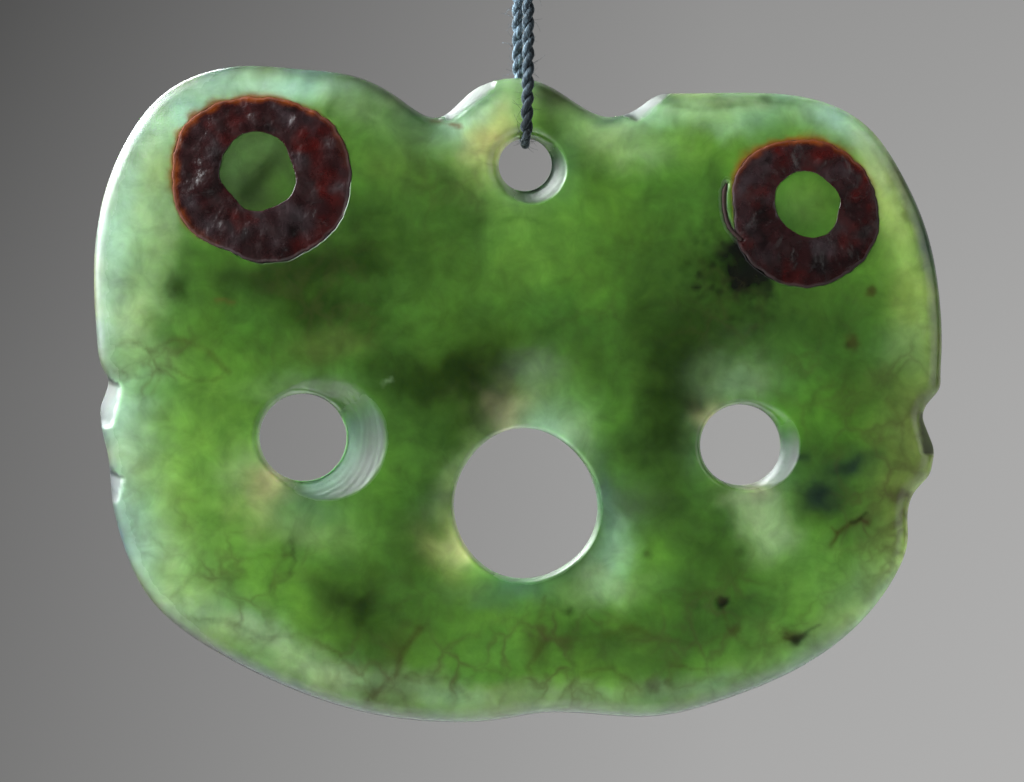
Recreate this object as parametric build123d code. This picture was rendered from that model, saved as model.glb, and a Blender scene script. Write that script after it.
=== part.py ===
from build123d import *
import os
from collections import namedtuple
from math import radians, sqrt, tan

# A carved greenstone pendant that hangs on a closed loop of yarn.
# Millimetres: X to the right, Y away from the viewer, Z up. The carved face looks along -Y.
# The origin is the underside of the yarn loop's top, where it lies on a hook or peg.

# Driving dimensions: the plate
plate_width = 66.0
plate_height = 51.1
centre_thickness = 5.2
rim_thickness = 3.0
edge_rounding = 1.3

# Driving dimensions: the bores through the plate
suspension_bore = 4.1
suspension_lip = 1.2
left_bore = 6.8
right_bore = 6.3
centre_bore_width = 11.1
centre_bore_height = 11.7
centre_bevel = 0.7

# Driving dimensions: the two eyes and their inlays
left_eye_width = 14.0
left_eye_height = 13.0
left_core = 6.1
right_eye_width = 11.1
right_eye_height = 11.3
right_core = 5.1
eye_groove_depth = 1.3
wax_line_width = 0.45
wax_line_depth = 0.6
wax_gap = 0.05
wax_sink = 0.08

# Driving dimensions: the flats filed beside the dips of the top edge
flat_length = 4.4
flat_bite = 0.55

# Driving dimensions: the yarn, its loop and its knot
yarn_diameter = 1.0
yarn_clearance = 0.1
loop_drop = 56.0
hook_bend = 2.1
knot_diameter = 2.8
knot_length = 3.2
knot_below_top = 12.0
knot_rounding = 0.9

# Places on the plate: shares of its width from its left end, and of its height from its top.
Place = namedtuple("Place", "across down")
thickest_place = Place(0.545, 0.530)
suspension_place = Place(0.509, 0.151)
left_bore_place = Place(0.247, 0.567)
right_bore_place = Place(0.763, 0.578)
centre_bore_place = Place(0.509, 0.667)
left_eye_place = Place(0.197, 0.171)
left_core_place = Place(0.195, 0.160)
right_eye_place = Place(0.841, 0.221)
right_core_place = Place(0.843, 0.209)

# The thin line of wax beside the right eye: its free end, its middle and its end in the ring, from
# the eye's centre, as shares of the eye's width and height.
Shift = namedtuple("Shift", "right up")
WAX_LINE = (Shift(-0.556, 0.200), Shift(-0.592, 0.040), Shift(-0.430, -0.225))

# The outline, from the peak of the left wing down the left side and round.
OUTLINE = (
    Place(0.178, 0.000),
    Place(0.137, 0.008),
    Place(0.084, 0.041),
    Place(0.042, 0.106),
    Place(0.013, 0.193),
    Place(0.000, 0.330),
    Place(0.005, 0.440),
    Place(0.007, 0.524),
    Place(0.019, 0.622),
    Place(0.033, 0.722),
    Place(0.067, 0.813),
    Place(0.131, 0.882),
    Place(0.229, 0.947),
    Place(0.326, 0.987),
    Place(0.420, 1.000),
    Place(0.478, 0.996),
    Place(0.527, 0.986),
    Place(0.609, 0.990),
    Place(0.668, 0.990),
    Place(0.745, 0.965),
    Place(0.834, 0.916),
    Place(0.904, 0.848),
    Place(0.946, 0.775),
    Place(0.960, 0.716),
    Place(0.961, 0.676),
    Place(0.972, 0.645),
    Place(0.986, 0.615),
    Place(0.992, 0.583),
    Place(0.999, 0.510),
    Place(1.000, 0.440),
    Place(0.997, 0.345),
    Place(0.983, 0.254),
    Place(0.950, 0.158),
    Place(0.912, 0.092),
    Place(0.858, 0.054),
    Place(0.770, 0.041),
    Place(0.690, 0.042),
    Place(0.664, 0.046),
    Place(0.643, 0.064),
    Place(0.607, 0.078),
    Place(0.568, 0.056),
    Place(0.528, 0.026),
    Place(0.480, 0.021),
    Place(0.444, 0.041),
    Place(0.406, 0.079),
    Place(0.360, 0.049),
    Place(0.308, 0.016),
    Place(0.243, 0.005),
)

# The rounded wall from back to front: how far it is drawn in, as a share of the edge rounding, and
# how far it lies from mid thickness, as a share of the centre thickness.
WallRow = namedtuple("WallRow", "drawn_in forward")
WALL = (
    WallRow(1.70, -0.48),
    WallRow(0.80, -0.37),
    WallRow(0.28, -0.26),
    WallRow(0.00, 0.00),
    WallRow(0.28, 0.26),
    WallRow(0.80, 0.37),
    WallRow(1.70, 0.48),
)

# Flares that the drill wore round a bore. The mouth on the face is shifted from the bore; its
# shifts and its radius are shares of the bore's width. Side -1 is the front face, 1 the back.
Flare = namedtuple("Flare", "place bore side right down mouth")
FLARES = (
    Flare(left_bore_place, left_bore, -1, 0.24, 0.07, 0.73),
    Flare(right_bore_place, right_bore, -1, 0.13, 0.02, 0.60),
    Flare(left_bore_place, left_bore, 1, 0.10, -0.08, 0.64),
    Flare(right_bore_place, right_bore, 1, -0.12, 0.06, 0.62),
)

# Hollows ground into the faces: their reach is a share of the plate's width, their depth a share of
# the centre thickness.
Scoop = namedtuple("Scoop", "across down side reach depth")
SCOOPS = (
    Scoop(0.522, 0.512, -1, 0.058, 0.26),
    Scoop(0.424, 0.722, -1, 0.055, 0.16),
    Scoop(0.612, 0.735, -1, 0.072, 0.22),
    Scoop(0.768, 0.478, -1, 0.060, 0.16),
    Scoop(0.785, 0.684, -1, 0.052, 0.12),
    Scoop(0.509, 0.560, 1, 0.075, 0.20),
    Scoop(0.590, 0.720, 1, 0.070, 0.18),
)

# Worn carved notches in the side edges: round cuts along Y that widen towards the front. Their
# radius is a share of the plate's width, their spread how much wider they are at the front.
Notch = namedtuple("Notch", "across down radius spread")
NOTCHES = (
    Notch(-0.014, 0.487, 0.030, 1.5),
    Notch(0.006, 0.642, 0.015, 1.6),
    Notch(1.012, 0.531, 0.034, 1.1),
)

# Flats on the front corner of the top edge: the edge's outward turn from straight up, to the right,
# and the lean of the flat towards the front, in degrees.
Flat = namedtuple("Flat", "across down turn lean")
FLATS = (
    Flat(0.441, 0.048, -35.0, 42.0),
    Flat(0.655, 0.055, -40.0, 42.0),
)

# Worked out from the sizes above
half_width = plate_width / 2
face_sag = (centre_thickness - rim_thickness) / 2
face_radius = (half_width**2 + face_sag**2) / (2 * face_sag)
yarn_radius = yarn_diameter / 2
past_face = centre_thickness
bore_drop = suspension_bore / 2 - yarn_radius - yarn_clearance
lip_bend = suspension_lip + yarn_clearance + yarn_radius


def on_plate(place):
    """How far a place lies to the right of the thickest place, and above it."""
    right = (place.across - thickest_place.across) * plate_width
    up = (thickest_place.down - place.down) * plate_height
    return right, up


def half_thickness(place):
    """Half the plate's thickness at a place, before it is carved."""
    right, up = on_plate(place)
    fall = face_radius - sqrt(face_radius**2 - right**2 - up**2)
    return centre_thickness / 2 - fall


def facing_front(sketch, right, forward, up):
    """A flat drawing, stood up so that its face looks along -Y."""
    return Plane(origin=(right, forward, up), x_dir=(1, 0, 0), z_dir=(0, -1, 0)) * sketch


def lens(sink=0.0):
    """The space between the domed faces, with the front one sunk by a little."""
    front = Pos(0, face_radius - centre_thickness / 2 + sink, 0) * Sphere(face_radius)
    back = Pos(0, centre_thickness / 2 - face_radius, 0) * Sphere(face_radius)
    return front & back


def wall_section(row):
    """The outline, drawn in square to itself at one depth of the rounded wall."""
    corners = [Vector(*on_plate(place)) for place in OUTLINE]
    drawn_in = []
    for index, corner in enumerate(corners):
        ahead = corners[(index + 1) % len(corners)]
        along = (ahead - corners[index - 1]).normalized()
        drawn_in.append(corner + Vector(-along.Y, along.X) * (row.drawn_in * edge_rounding))
    face = make_face(Spline(drawn_in, periodic=True))
    return facing_front(face, 0, row.forward * centre_thickness, 0)


def plate_blank():
    """The whole plate with its rounded wall, before it is bored and carved."""
    return loft([wall_section(row) for row in WALL]) & lens()


def through(sketch, place):
    """A prism of a flat drawing, right through the plate at a place."""
    right, up = on_plate(place)
    return extrude(facing_front(sketch, right, past_face, up), 2 * past_face)


def front_prism(sketch, place):
    """A prism of a flat drawing, from mid thickness out past the front face."""
    right, up = on_plate(place)
    return extrude(facing_front(sketch, right, 0, up), past_face)


def suspension_cut():
    """The suspension bore: a straight waist between two rounded lips."""
    face = half_thickness(suspension_place)
    waist = suspension_bore / 2
    mouth = waist + suspension_lip
    waist_end = face - suspension_lip
    lip_middle = suspension_lip * (1 - sqrt(0.5))
    with BuildPart() as cut:
        with BuildSketch():
            with BuildLine():
                Polyline((waist, -waist_end), (waist, waist_end))
                ThreePointArc(
                    (waist, waist_end),
                    (waist + lip_middle, face - lip_middle),
                    (mouth, face),
                )
                Polyline((mouth, face), (mouth, past_face), (0, past_face), (0, -past_face))
                Polyline((0, -past_face), (mouth, -past_face), (mouth, -face))
                ThreePointArc(
                    (mouth, -face),
                    (waist + lip_middle, -face + lip_middle),
                    (waist, -waist_end),
                )
            make_face()
        revolve(axis=Axis.Y)
    right, up = on_plate(suspension_place)
    return Pos(right, 0, up) * cut.part


def centre_cut():
    """The large bore between the legs, with a bevelled rim on both faces."""
    bore = Ellipse(centre_bore_width / 2, centre_bore_height / 2)
    wide = Ellipse(centre_bore_width / 2 + centre_bevel * 2, centre_bore_height / 2 + centre_bevel * 2)
    right, up = on_plate(centre_bore_place)
    face = half_thickness(centre_bore_place)
    cut = through(bore, centre_bore_place)
    for side in (-1, 1):
        waist = facing_front(bore, right, side * (face - centre_bevel), up)
        mouth = facing_front(wide, right, side * (face + centre_bevel), up)
        cut += loft([waist, mouth])
    return cut


def flare_cut(flare):
    """A leaning cone from the bore at mid thickness to its mouth, and on past the face."""
    right, up = on_plate(flare.place)
    face = half_thickness(flare.place)
    ends = []
    for depth_share in (0.0, 1.5):
        step = flare.bore * depth_share
        radius = flare.bore / 2 + (flare.mouth - 0.5) * step
        shifted = (right + flare.right * step, up - flare.down * step)
        ends.append(facing_front(Circle(radius), shifted[0], flare.side * face * depth_share, shifted[1]))
    return loft(ends)


def scoop_cut(scoop):
    """The ball that grinds a shallow round hollow into one face."""
    right, up = on_plate(scoop)
    reach = scoop.reach * plate_width
    depth = scoop.depth * centre_thickness
    ball = (reach**2 + depth**2) / (2 * depth)
    return Pos(right, scoop.side * (half_thickness(scoop) - depth + ball), up) * Sphere(ball)


def notch_cut(notch):
    """A round cut across the edge, wider at the front than at the back."""
    right, up = on_plate(notch)
    radius = notch.radius * plate_width
    back = facing_front(Circle(radius), right, past_face, up)
    front = facing_front(Circle(radius * notch.spread), right, -past_face, up)
    return loft([back, front])


def flat_cut(flat):
    """A block whose lower face files a flat on the front corner of the top edge."""
    right, up = on_plate(flat)
    outward = Vector(0, 0, 1).rotate(Axis.Y, flat.turn)
    leaning = outward.rotate(Axis((0, 0, 0), Vector(0, -1, 0).cross(outward)), -flat.lean)
    corner = Vector(right, -half_thickness(flat), up) - outward * flat_bite
    frame = Plane(origin=corner, x_dir=Vector(0, 1, 0).cross(outward), z_dir=leaning)
    block = Box(flat_length, past_face, past_face, align=(Align.CENTER, Align.CENTER, Align.MIN))
    return frame * block


def eye_ring(eye, width, height, core_place, core, gap):
    """An eye's ring, drawn in by a gap at both of its sides, as a prism at the front."""
    right, up = on_plate(eye)
    core_right, core_up = on_plate(core_place)
    outer = Ellipse(width / 2 - gap, height / 2 - gap)
    inner = Pos(core_right - right, core_up - up) * Circle(core / 2 + gap)
    return front_prism(outer - inner, eye)


def left_ring(gap):
    return eye_ring(left_eye_place, left_eye_width, left_eye_height, left_core_place, left_core, gap)


def right_ring(gap):
    return eye_ring(right_eye_place, right_eye_width, right_eye_height, right_core_place, right_core, gap)


def wax_line(gap):
    """The thin curved line of wax that runs into the right ring."""
    corners = [(row.right * right_eye_width, row.up * right_eye_height) for row in WAX_LINE]
    arc = ThreePointArc(*corners)
    strip = trace(arc.trim(gap / arc.length, 1), wax_line_width - 2 * gap)
    return front_prism(strip, right_eye_place)


def groove(prism, depth):
    """What a groove of even depth under the front face takes away."""
    return prism - lens(depth)


def inlay(prism, depth):
    """Wax that fills a groove to just under the face, clear of its floor."""
    return (prism & lens(wax_sink)) - lens(depth - wax_gap)


def greenstone_plate():
    cuts = [
        suspension_cut(),
        through(Circle(left_bore / 2), left_bore_place),
        through(Circle(right_bore / 2), right_bore_place),
        centre_cut(),
        groove(left_ring(0), eye_groove_depth),
        groove(right_ring(0), eye_groove_depth),
        groove(wax_line(0), wax_line_depth),
    ]
    cuts += [flare_cut(flare) for flare in FLARES]
    cuts += [scoop_cut(scoop) for scoop in SCOOPS]
    cuts += [notch_cut(notch) for notch in NOTCHES]
    cuts += [flat_cut(flat) for flat in FLATS]
    return plate_blank() - cuts


def eye_inlay_left():
    return inlay(left_ring(wax_gap), eye_groove_depth)


def eye_inlay_right():
    ring = inlay(right_ring(wax_gap), eye_groove_depth)
    return ring + inlay(wax_line(wax_gap), wax_line_depth)


def hung(piece):
    """A piece of the plate, moved so that the yarn carries it in the suspension bore."""
    right, up = on_plate(suspension_place)
    return Pos(-right, 0, -loop_drop - bore_drop - up) * piece


def thread_route():
    """The yarn's corners: down the back strand from the knot, through the bore, up the front
    strand, over the hook and down to the knot again."""
    out = half_thickness(suspension_place) + yarn_clearance + yarn_radius
    top = yarn_radius
    bottom = -loop_drop
    knot_top = -knot_below_top
    return [
        (-0.10, 2.20, knot_top - knot_length),
        (-0.10, 2.20, bottom + 29.5),
        (-1.10, 2.42, bottom + 17.0),
        (-0.95, out - 0.12, bottom + 6.5),
        (0.00, out, bottom),
        (0.06, -out, bottom),
        (0.12, 0.06 - out, bottom + 6.5),
        (0.02, -2.50, bottom + 17.0),
        (0.10, -2.30, bottom + 33.0),
        (-0.02, -2.15, top - 7.0),
        (0.00, -hook_bend, top),
        (0.00, hook_bend, top),
        (-0.10, 2.20, top - 6.0),
        (-0.10, 2.20, knot_top),
    ]


def bend_radii(route):
    """Each corner's arc: as large as its two runs allow, but the lip's size at the bore."""
    radii = []
    for before, corner, after in zip(route, route[1:], route[2:]):
        run_in = Vector(*corner) - Vector(*before)
        run_out = Vector(*after) - Vector(*corner)
        shorter = min(run_in.length, run_out.length)
        largest = 0.45 * shorter / tan(radians(run_in.get_angle(run_out) / 2))
        at_bore = corner[2] == -loop_drop
        radii.append(min(largest, lip_bend) if at_bore else largest)
    return radii


def hanging_thread():
    route = thread_route()
    radii = bend_radii(route)
    print("yarn bend radii", [round(radius, 2) for radius in radii])
    path = FilletPolyline(*route, radius=radii)
    print("yarn length", round(path.length, 1))
    start = Plane(origin=path @ 0, z_dir=path % 0)
    return sweep(start * Circle(yarn_radius), path=path)


def thread_knot():
    right, back, _ = thread_route()[0]
    knot = Cylinder(knot_diameter / 2, knot_length)
    knot = fillet(knot.edges().filter_by(GeomType.CIRCLE), knot_rounding)
    return Pos(right, back, -knot_below_top - knot_length / 2) * knot


PARTS = {
    "greenstone_plate": hung(greenstone_plate()),
    "eye_inlay_left": hung(eye_inlay_left()),
    "eye_inlay_right": hung(eye_inlay_right()),
    "hanging_thread": hanging_thread(),
    "thread_knot": thread_knot(),
}

os.makedirs("parts", exist_ok=True)
for name, piece in PARTS.items():
    piece.label = name
    export_step(piece, "parts/" + name + ".step")
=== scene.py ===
"""Looks for a carved greenstone pendant on a yarn loop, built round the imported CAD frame."""

from collections import namedtuple
from math import ceil, cos, pi, radians, sin

import bpy
import numpy as np
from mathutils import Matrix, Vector, kdtree
from mathutils.geometry import delaunay_2d_cdt


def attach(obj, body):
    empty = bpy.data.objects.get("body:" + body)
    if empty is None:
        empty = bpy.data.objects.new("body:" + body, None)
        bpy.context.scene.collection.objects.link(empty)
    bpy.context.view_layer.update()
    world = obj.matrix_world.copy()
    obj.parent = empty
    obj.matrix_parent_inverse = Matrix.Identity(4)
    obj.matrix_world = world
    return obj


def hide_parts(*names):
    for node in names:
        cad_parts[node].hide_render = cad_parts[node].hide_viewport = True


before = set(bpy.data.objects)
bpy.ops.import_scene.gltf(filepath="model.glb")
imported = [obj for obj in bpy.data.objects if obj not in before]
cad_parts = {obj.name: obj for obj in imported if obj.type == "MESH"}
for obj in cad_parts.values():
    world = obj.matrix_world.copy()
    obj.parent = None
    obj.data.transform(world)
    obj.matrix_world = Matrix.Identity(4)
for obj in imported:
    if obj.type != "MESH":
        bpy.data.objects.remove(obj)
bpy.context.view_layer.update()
scene = bpy.context.scene

MM = 0.001
FRONT, BACK = -1, 1

# ---- Sizes in millimetres, and places as shares of the plate, as in the part's own source
PLATE_WIDTH, PLATE_HEIGHT = 66.0, 51.1
CENTRE_THICKNESS, RIM_THICKNESS = 5.2, 3.0
SUSPENSION_Z = -57.45
GROOVE_DEPTH = 1.25

Place = namedtuple("Place", "across down")
THICKEST = Place(0.545, 0.530)
SUSPENSION = Place(0.509, 0.151)

# The photograph's frame, and where the plate's left end, top, width and height lie in it.
PHOTO_MIDDLE = np.array([1024, 782]) / 2
PLATE_CORNER_PX = np.array([94.0, 66.0])
PLATE_SIZE_PX = np.array([847.0, 656.5])
PX_PER_MM = PLATE_SIZE_PX[0] / PLATE_WIDTH


def place_mm(across, down):
    """Shares of the plate to its millimetres, right and up."""
    x = (across - SUSPENSION.across) * PLATE_WIDTH
    z = SUSPENSION_Z + (SUSPENSION.down - down) * PLATE_HEIGHT
    return np.array([x, z])


def px_mm(*place):
    """A place in the photograph to millimetres on the plate."""
    return place_mm(*((place - PLATE_CORNER_PX) / PLATE_SIZE_PX))


def mm_px(points):
    """Millimetres on the plate to places in the photograph."""
    across = points[:, 0] / PLATE_WIDTH + SUSPENSION.across
    down = SUSPENSION.down - (points[:, 1] - SUSPENSION_Z) / PLATE_HEIGHT
    return PLATE_CORNER_PX + np.stack([across, down], axis=1) * PLATE_SIZE_PX


# The front face lies nearer to the camera than the outline, so what is read on it looks this much
# farther from the picture's middle.
FACE_SPREAD = 1.0095


def on_face(point):
    """A place read in the photograph's plane, moved to where it lies on the front face."""
    middle = px_mm(*PHOTO_MIDDLE)
    return middle + (point - middle) / FACE_SPREAD


OUTLINE = (
    (0.178, 0.000), (0.137, 0.008), (0.084, 0.041), (0.042, 0.106), (0.013, 0.193),
    (0.000, 0.330), (0.004, 0.420), (0.011, 0.463), (0.017, 0.480), (0.0165, 0.487),
    (0.013, 0.502), (0.008, 0.520), (0.008, 0.540), (0.011, 0.563), (0.017, 0.595),
    (0.019, 0.622), (0.021, 0.655), (0.026, 0.690), (0.033, 0.722), (0.067, 0.813),
    (0.131, 0.882), (0.229, 0.947), (0.326, 0.987), (0.420, 1.000), (0.478, 0.996),
    (0.527, 0.986), (0.609, 0.990), (0.668, 0.990), (0.745, 0.965), (0.834, 0.916),
    (0.904, 0.848), (0.946, 0.775), (0.9585, 0.736), (0.9605, 0.715), (0.960, 0.692),
    (0.962, 0.668), (0.969, 0.648), (0.978, 0.635), (0.986, 0.622), (0.9895, 0.605),
    (0.991, 0.584), (0.987, 0.568), (0.982, 0.552), (0.978, 0.534), (0.982, 0.518),
    (0.991, 0.504), (0.998, 0.490), (0.999, 0.474), (1.000, 0.440), (0.997, 0.345),
    (0.983, 0.254), (0.950, 0.158), (0.912, 0.092), (0.858, 0.054), (0.770, 0.041),
    (0.690, 0.042), (0.664, 0.046), (0.643, 0.064), (0.607, 0.078), (0.568, 0.056),
    (0.528, 0.026), (0.480, 0.021), (0.444, 0.041), (0.406, 0.079), (0.360, 0.049),
    (0.308, 0.016), (0.243, 0.005),
)

# Bores: centre, the reach of their wall from it, from the right and then counter-clockwise, and
# how wide their rounded lip is.
Bore = namedtuple("Bore", "place reach lip")
BORES = {
    "suspension": Bore(SUSPENSION, (2.07, 2.05, 2.04, 2.06, 2.07, 2.04), 1.1),
    "left": Bore(Place(0.247, 0.567), (3.38, 3.40, 3.42, 3.40, 3.36, 3.38), 0.45),
    "right": Bore(Place(0.763, 0.578), (3.16, 3.14, 3.16, 3.15, 3.12, 3.14), 0.45),
    "centre": Bore(
        Place(0.509, 0.667),
        (5.62, 5.52, 5.62, 5.86, 5.72, 5.52, 5.55, 5.66, 5.84, 5.86, 5.72, 5.74),
        0.34,
    ),
}

# Flares the drill wore round a bore: the mouth's shift from the bore and its radius, as shares of
# the bore's width; where it is deepest, in degrees from the right and counter-clockwise; from
# what cosine of the angle to there it begins; and how much of its depth it has.
Flare = namedtuple("Flare", "bore side width right down mouth turn start most")
FLARES = (
    Flare("left", FRONT, 6.8, 0.26, 0.01, 0.690, -32, -0.20, 1.0),
    Flare("right", FRONT, 6.3, 0.142, 0.0, 0.560, -20, 0.10, 0.55),
    Flare("suspension", FRONT, 4.1, 0.110, 0.110, 0.650, -40, -0.20, 1.0),
    Flare("left", BACK, 6.8, 0.10, -0.08, 0.64, 0, -2, 1.0),
    Flare("right", BACK, 6.3, -0.12, 0.06, 0.62, 0, -2, 1.0),
    Flare("suspension", BACK, 4.1, -0.06, -0.10, 0.64, 0, -2, 1.0),
)
# The share of its depth that a front flare keeps all round, over how much of the cosine it grows to
# its full depth, how far inside that its wall is worn rough, and the drill's marks on it.
FLARE_LEAST, FLARE_EASE, WORN_START, WORN_EASE = 0.22, 0.8, 0.45, 0.5
RIPPLE_DEPTH = 0.034
# Each ripple's strength, length and wander, and the size and seed of the noise it wanders by.
RIPPLES = ((1.0, 0.46, 2.2, 2.4, 71), (0.7, 0.27, 3.0, 1.6, 72))

# Soft hollows ground into the faces, in millimetres of reach and depth.
Scoop = namedtuple("Scoop", "across down side reach depth")
SCOOPS = (
    Scoop(0.522, 0.512, FRONT, 4.4, 1.30),
    Scoop(0.424, 0.722, FRONT, 4.1, 0.80),
    Scoop(0.612, 0.735, FRONT, 5.4, 1.12),
    Scoop(0.768, 0.478, FRONT, 4.6, 0.80),
    Scoop(0.785, 0.684, FRONT, 4.0, 0.60),
    Scoop(0.250, 0.690, FRONT, 4.8, 0.45),
    Scoop(0.509, 0.560, BACK, 5.6, 1.02),
    Scoop(0.590, 0.720, BACK, 5.2, 0.90),
)
SCOOP_SPREAD, SCOOP_SHARE, SCOOP_POWER = 1.35, 0.82, 2.6
# The faces' own unevenness: its depth and the span of its lumps, in millimetres.
FACE_WAVE, FACE_WAVE_SIZE = 0.05, 9.0

# Flats filed on the front edge: where, the edge's outward turn from straight up to the right, the
# lean towards the front, in degrees, how deep they bite and how long they are, in millimetres.
Flat = namedtuple("Flat", "across down turn lean bite length")
FLATS = (
    Flat(0.441, 0.048, -35.0, 42.0, 0.75, 4.4),
    Flat(0.655, 0.055, -40.0, 42.0, 0.70, 3.6),
    Flat(0.012, 0.512, -78.0, 48.0, 1.15, 3.2),
    Flat(0.020, 0.640, -78.0, 48.0, 0.95, 1.9),
    Flat(0.982, 0.560, 84.0, 50.0, 0.60, 3.0),
)
# How softly a flat meets the face, and how steeply the face rises past the flat's ends.
FLAT_BLEND, FLAT_RISE = 0.12, 2.5

# The eyes: the reach of the ring and of the stone core from their own centres, as shares of the
# ring's half width and of the core's radius, from the right and counter-clockwise.
Eye = namedtuple("Eye", "ring radius reach core core_radius core_reach")
EYES = {
    "left": Eye(
        Place(0.1955, 0.1763), 6.80,
        (1.02, 1.05, 0.99, 0.96, 1.02, 1.06, 0.99, 0.98, 0.87, 0.92, 0.95, 1.01),
        Place(0.1915, 0.160), 3.05,
        (0.96, 0.95, 1.05, 1.05, 1.08, 0.95, 0.98, 0.88, 0.92, 1.04, 1.02, 1.11),
    ),
    "right": Eye(
        Place(0.841, 0.2240), 5.68,
        (0.99, 0.98, 0.99, 0.99, 1.04, 1.07, 0.97, 1.01, 1.01, 1.01, 0.99, 1.00),
        Place(0.843, 0.209), 2.62,
        (0.98, 0.94, 0.88, 0.98, 1.04, 1.05, 0.98, 0.96, 0.93, 1.02, 1.16, 1.04),
    ),
}
# How much of the core's unevenness it keeps, and how rough the grooves' edges are.
CORE_UNEVEN = 0.65
EDGE_ROUGH = 0.13

# The thin line of wax beside the right eye, from places in the photograph, and the furrow that it
# lies in.
FURROW_DEPTH, FURROW_REACH = 0.20, 0.20
WAX_LINE = [on_face(px_mm(*corner)) for corner in (
    (727, 183), (724.5, 191), (724, 199), (724.5, 209),
    (726.5, 219), (730, 228), (736, 235), (742, 240),
)]

# Small marks that need a finer mesh, as places and reaches in the photograph.
FINE_SPOTS = (
    (738, 262, 46), (722, 603, 12), (798, 638, 26), (850, 530, 34), (853, 343, 14), (870, 291, 12),
    (655, 688, 16), (178, 290, 14), (818, 490, 26), (727, 212, 34),
)


# ---- Small helpers
def unit(value):
    """A value kept between 0 and 1."""
    return np.clip(value, 0, 1)


def eased(share):
    share = unit(share)
    return share**2 * (3 - 2 * share)


def bell(distance, reach, power=2):
    """1 where the distance is 0, and fading to 0 past the reach."""
    return np.exp(-((distance / reach) ** power))


def cloud(points, size, seed, octaves=2):
    """Smooth noise from -1 to 1; size is the span of its largest lumps, in the points' units."""
    total = np.zeros(len(points))
    reach = 0.0
    for octave in range(octaves):
        table = np.random.default_rng(seed * 31 + octave).uniform(-1, 1, (256, 256))
        turn = 0.6 + 1.1 * octave
        turned = points @ np.array([[cos(turn), sin(turn)], [-sin(turn), cos(turn)]])
        spot = turned * (2.0**octave / size) + 91.37
        cell = np.floor(spot).astype(int)
        part = spot - cell
        part = part * part * part * (part * (part * 6 - 15) + 10)
        ax, az = cell[:, 0] & 255, cell[:, 1] & 255
        bx, bz = (ax + 1) & 255, (az + 1) & 255
        low = table[ax, az] * (1 - part[:, 0]) + table[bx, az] * part[:, 0]
        high = table[ax, bz] * (1 - part[:, 0]) + table[bx, bz] * part[:, 0]
        total += (low * (1 - part[:, 1]) + high * part[:, 1]) * 0.5**octave
        reach += 0.5**octave
    return total / reach


def drift(points, size, seed, octaves):
    """Smooth noise in two directions."""
    clouds = [cloud(points, size, seed + i, octaves) for i in (0, 1)]
    return np.stack(clouds, axis=1)


def smooth_loop(corners, step):
    """A closed smooth curve through the corners, as points a step apart."""
    corners = np.asarray(corners, float)
    count = len(corners)
    spans = np.linalg.norm(np.roll(corners, -1, axis=0) - corners, axis=1)
    system = np.zeros((count, count))
    load = np.zeros((count, 2))
    for i in range(count):
        before, after, j = spans[i - 1], spans[i], (i + 1) % count
        system[i, i - 1] += before
        system[i, i] += 2 * (before + after)
        system[i, j] += after
        load[i] = 6 * ((corners[j] - corners[i]) / after - (corners[i] - corners[i - 1]) / before)
    bend = np.linalg.solve(system, load)
    fine = []
    for i in range(count):
        span, j = spans[i], (i + 1) % count
        t = np.linspace(0, span, 24, endpoint=False)[:, None]
        fine.append(
            bend[i] * (span - t) ** 3 / (6 * span)
            + bend[j] * t**3 / (6 * span)
            + (corners[i] / span - bend[i] * span / 6) * (span - t)
            + (corners[j] / span - bend[j] * span / 6) * t
        )
    return even_line(np.concatenate(fine), step, closed=True)


def run_length(points):
    """How far along a line each of its points lies."""
    return np.concatenate([[0], np.cumsum(np.linalg.norm(np.diff(points, axis=0), axis=1))])


def even_line(points, step, closed=False):
    """The same line, with its points evenly spaced."""
    if closed:
        points = np.vstack([points, points[:1]])
    along = run_length(points)
    count = int(ceil(along[-1] / step)) + (not closed)
    where = np.linspace(0, along[-1], count, endpoint=not closed)
    return np.stack([np.interp(where, along, points[:, i]) for i in range(points.shape[1])], axis=1)


def around(reach, angles):
    """A reach table from the right and counter-clockwise, read smoothly at any angle."""
    count = len(reach)
    waves = np.fft.rfft(np.asarray(reach, float)) / count
    result = np.full(len(angles), waves[0].real)
    for k in range(1, len(waves)):
        share = 1.0 if 2 * k == count else 2.0
        result += share * (waves[k].real * np.cos(k * angles) - waves[k].imag * np.sin(k * angles))
    return result


def polar(points, centre):
    """How far points lie from a centre, and at what angle from the right, counter-clockwise."""
    arm = points - centre
    return np.linalg.norm(arm, axis=1), np.arctan2(arm[:, 1], arm[:, 0])


def spokes(angles):
    return np.stack([np.cos(angles), np.sin(angles)], axis=1)


def steps_round(count):
    """Angles at even steps round a circle."""
    return np.arange(count) * (2 * pi / count)


def edge_reach(angles, radius, reach, rough, seed):
    """How far an uneven round edge lies from its centre at each angle."""
    return radius * around(reach, angles) + rough * cloud(spokes(angles) * radius, 1.1, seed, 3)


def loop_at(centre, angles, radius, reach, rough=0.0, seed=0, more=0.0):
    """Points of an uneven round edge, or of one a little farther out."""
    far = edge_reach(angles, radius, reach, rough, seed) + more
    return centre + spokes(angles) * far[:, None]


def ring_loop(centre, radius, reach, step, rough=0.0, seed=0):
    """A closed loop round a centre, with a little roughness in its line."""
    angles = steps_round(int(ceil(2 * pi * radius / step)))
    return loop_at(centre, angles, radius, reach, rough, seed)


def outward(loop):
    """Unit normals that point out of a counter-clockwise loop."""
    along = np.roll(loop, -1, axis=0) - np.roll(loop, 1, axis=0)
    along /= np.linalg.norm(along, axis=1)[:, None]
    return np.stack([along[:, 1], -along[:, 0]], axis=1)


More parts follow.
